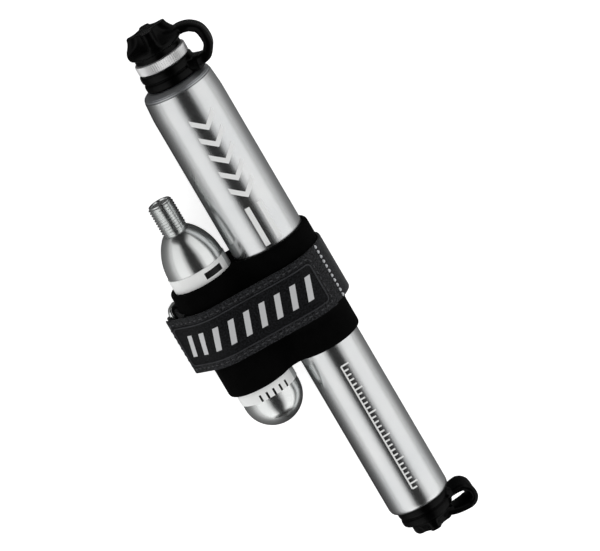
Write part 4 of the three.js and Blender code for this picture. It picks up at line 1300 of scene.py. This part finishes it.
def makeHandleMarks(spec, stripe):
    start, middle = boxOf("handle_tube")[0].x + 10, spec["middle"]
    quads = []
    for k in range(spec["count"]):
        along = start + k * spec["pitch"]
        quads += chevron(along, middle, spec["reach"], spec["height"], spec["thick"])
    for side in (-1, 1):
        line = middle + side * stripe["apart"]
        low, high = line - stripe["half"], line + stripe["half"]
        quads.append(bar(start + stripe["start"], start + stripe["end"], low, high))
    skin = onTube(radiusOf("handle_tube"))
    place(marks("handleMarks", quads, skin, whiteInk), "handle", "label_film")


def makeScale(spec):
    start, line, half = sleeveHigh.x + 8, spec["line"], spec["half"]
    length = spec["pitch"] * (spec["ticks"] - 1)
    quads = [bar(start, start + length, line, line + spec["thick"])]
    for k in range(spec["ticks"]):
        x = start + spec["pitch"] * k
        top = line + (spec["long"] if k % 5 == 0 else spec["short"])
        quads.append(bar(x - half, x + half, line + half, top))
    skin = onTube(radiusOf("barrel_tube"))
    place(marks("barrelMarks", quads, skin, whiteInk, 4), "barrel", "label_film")


def makePatchMarks(spec):
    half, thick, slant = spec["half"], spec["thick"], spec["slant"]
    quads = []
    for k in range(spec["count"]):
        u = spec["start"] + k * spec["pitch"]
        quads.append([(u, half), (u + thick, half), (u + slant + thick, -half), (u + slant, -half)])
    place(marks("patchMarks", quads, onRoute(patchTop), greyInk), "strap_flap", "label_film")


makeHandleMarks(chevronSpec, stripeSpec)
makeScale(scaleSpec)
makePatchMarks(slantSpec)
print("marks made")


# ---- finishes of the frame's own pieces that stay

finishOfNode = {
    "piston_head": acetal, "piston_seal": rubber, "rod_bumper": rubber, "gland_o_ring": rubber,
    "rod_wiper": rubber, "barrel_foot": brightMetal, "foot_o_ring": rubber, "valve_seat": brightMetal,
    "outlet_poppet": whiteAcetal, "hose_tube": hoseRubber, "upper_ferrule": brightMetal,
    "lower_ferrule": brightMetal, "valve_chuck": brightMetal, "chuck_grommet": rubber,
    "head_seal": rubber, "piercing_pin": plate,
}
for node, finish in finishOfNode.items():
    piece = frame["nodes"][node]
    piece.data.materials.clear()
    piece.data.materials.append(finish)


# The outlet spring, built as one fixed coil of round wire.
springSpec = {"turns": 4, "wire": 0.45, "lift": 1.0}


def makeSpring(spec):
    low, high = boxOf("outlet_spring")
    y, z = pumpAxis
    thick = spec["wire"] / 2
    middle = (high.z - low.z) / 2 - thick
    steps = 20 * spec["turns"]
    rings = []
    for i in range(steps + 1):
        angle = tau * spec["turns"] * i / steps
        x = low.x + thick + (high.x - low.x - 2 * thick) * i / steps
        ring = []
        for k in range(8):
            across = tau * k / 8
            out = middle + thick * math.cos(across)
            ring.append((x + thick * math.sin(across), y + out * math.cos(angle), z + out * math.sin(angle)))
        rings.append(ring)
    spring = loft("outletSpring", rings, plate)
    place(spring, "barrel", "spring_steel", "outlet_spring")
    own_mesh(spring)


makeSpring(springSpec)
print("outlet spring made")


# ---- floor, light and world

stageSpec = {
    "floorSize": 12.0, "panelDistance": 1.0, "panelLength": 3.2, "panels": 6, "edgeShare": 0.35,
    "leftArc": (-28, -92), "rightArc": (15, 92), "radiance": 0.92, "fill": 0.8,
    "shadeWidth": 150, "shadeLow": 0.02, "shadeHigh": 0.5,     # painted shadow: shiny pieces see the table darker under the pump and cartridge
    "tableGlow": 0.75, "background": 1.0, "surroundings": 0.012,
}


def makeFloor(spec):
    material, tree, shader = newMaterial("pale floor", {
        "Base Color": "#f2f2f2", "Roughness": 0.9, "Emission Color": "#ffffff",
        "Emission Strength": spec["tableGlow"],
    })
    # Glossy rays see the table as an emission painted dark along the middle line y = 0 under the pump and
    # cartridge, brightening out to shadeWidth: a painted contact shadow in the reflections.
    where = addNode(tree, "ShaderNodeTexCoord").outputs["Object"]
    away = calc(tree, "ABSOLUTE", addNode(tree, "ShaderNodeSeparateXYZ", None, {"Vector": where}).outputs[1])
    shade = ramp(tree, away, 0, spec["shadeWidth"] * mm, (spec["shadeLow"], spec["shadeHigh"]))
    paintedReflectionShade = addNode(tree, "ShaderNodeEmission", None, {"Color": "#ffffff", "Strength": shade})
    path = addNode(tree, "ShaderNodeLightPath")
    both = addNode(tree, "ShaderNodeMixShader", None, {
        0: path.outputs["Is Glossy Ray"], 1: shader.outputs[0], 2: paintedReflectionShade.outputs[0],
    })
    output = [node for node in tree.nodes if node.bl_idname == "ShaderNodeOutputMaterial"][0]
    tree.links.new(both.outputs[0], output.inputs["Surface"])
    half, under = spec["floorSize"] / 2, -0.0002
    corners = [(-half, -half, under), (half, -half, under), (half, half, under), (-half, half, under)]
    mesh = bpy.data.meshes.new("floor")
    mesh.from_pydata(corners, [], [(0, 1, 2, 3)])
    floor = bpy.data.objects.new("floor", mesh)
    mesh.materials.append(material)
    bpy.context.scene.collection.objects.link(floor)
    floor.visible_shadow = False


# A tall panel of light that lies along the pump and stands at an angle round it. Panels side
# by side make one softbox, and the share of light falls off towards its two edges.
def makePanel(name, angle, wide, radiance, glossy):
    spec = stageSpec
    tilt = math.radians(cameraSpec["tiltDegrees"])
    direction = Vector((math.sin(tilt) * 0.5, math.sin(angle), math.cos(angle))).normalized()
    data = bpy.data.lights.new(name, "AREA")
    data.shape = "RECTANGLE"
    data.size, data.size_y = spec["panelLength"], 2 * spec["panelDistance"] * math.tan(wide / 2)
    data.energy = radiance * math.pi * data.size * data.size_y
    light = bpy.data.objects.new(name, data)
    light.location = Vector((0, *pumpAxis)) * mm + direction * spec["panelDistance"]
    along = Vector((1, 0, 0))
    along = (along - direction * along.dot(direction)).normalized()
    facing = Matrix((along, direction.cross(along), direction)).transposed().to_4x4()
    light.matrix_world = Matrix.Translation(light.location) @ facing
    light.visible_camera = False
    light.visible_glossy = glossy
    bpy.context.scene.collection.objects.link(light)


def makeLight(spec):
    for side, (start, end) in (("left", spec["leftArc"]), ("right", spec["rightArc"])):
        count = spec["panels"]
        wide = math.radians(abs(end - start)) / count
        for i in range(count):
            share = (i + 0.5) / count
            angle = math.radians(start + (end - start) * share)
            fade = min(1, spec["edgeShare"] + (1 - spec["edgeShare"]) * min(share, 1 - share) / 0.2)
            makePanel(side + "Panel" + str(i), angle, wide, spec["radiance"] * fade, True)
    makePanel("topFill", 0, math.radians(40), spec["fill"], False)


def makeWorld(spec):
    world = bpy.data.worlds.new("studio")
    bpy.context.scene.world = world
    world.use_nodes = True
    tree = world.node_tree
    tree.nodes.clear()
    path = addNode(tree, "ShaderNodeLightPath")
    seen = addNode(tree, "ShaderNodeBackground", None, {"Color": "#ffffff", "Strength": spec["background"]})
    dim = addNode(tree, "ShaderNodeBackground", None, {"Color": "#ffffff", "Strength": spec["surroundings"]})
    mixed = addNode(tree, "ShaderNodeMixShader", None, {
        0: path.outputs["Is Camera Ray"], 1: dim.outputs[0], 2: seen.outputs[0],
    })
    addNode(tree, "ShaderNodeOutputWorld", None, {"Surface": mixed.outputs[0]})
    bpy.context.scene.view_settings.view_transform = "Standard"


makeFloor(stageSpec)
makeLight(stageSpec)
makeWorld(stageSpec)
print("stage made")
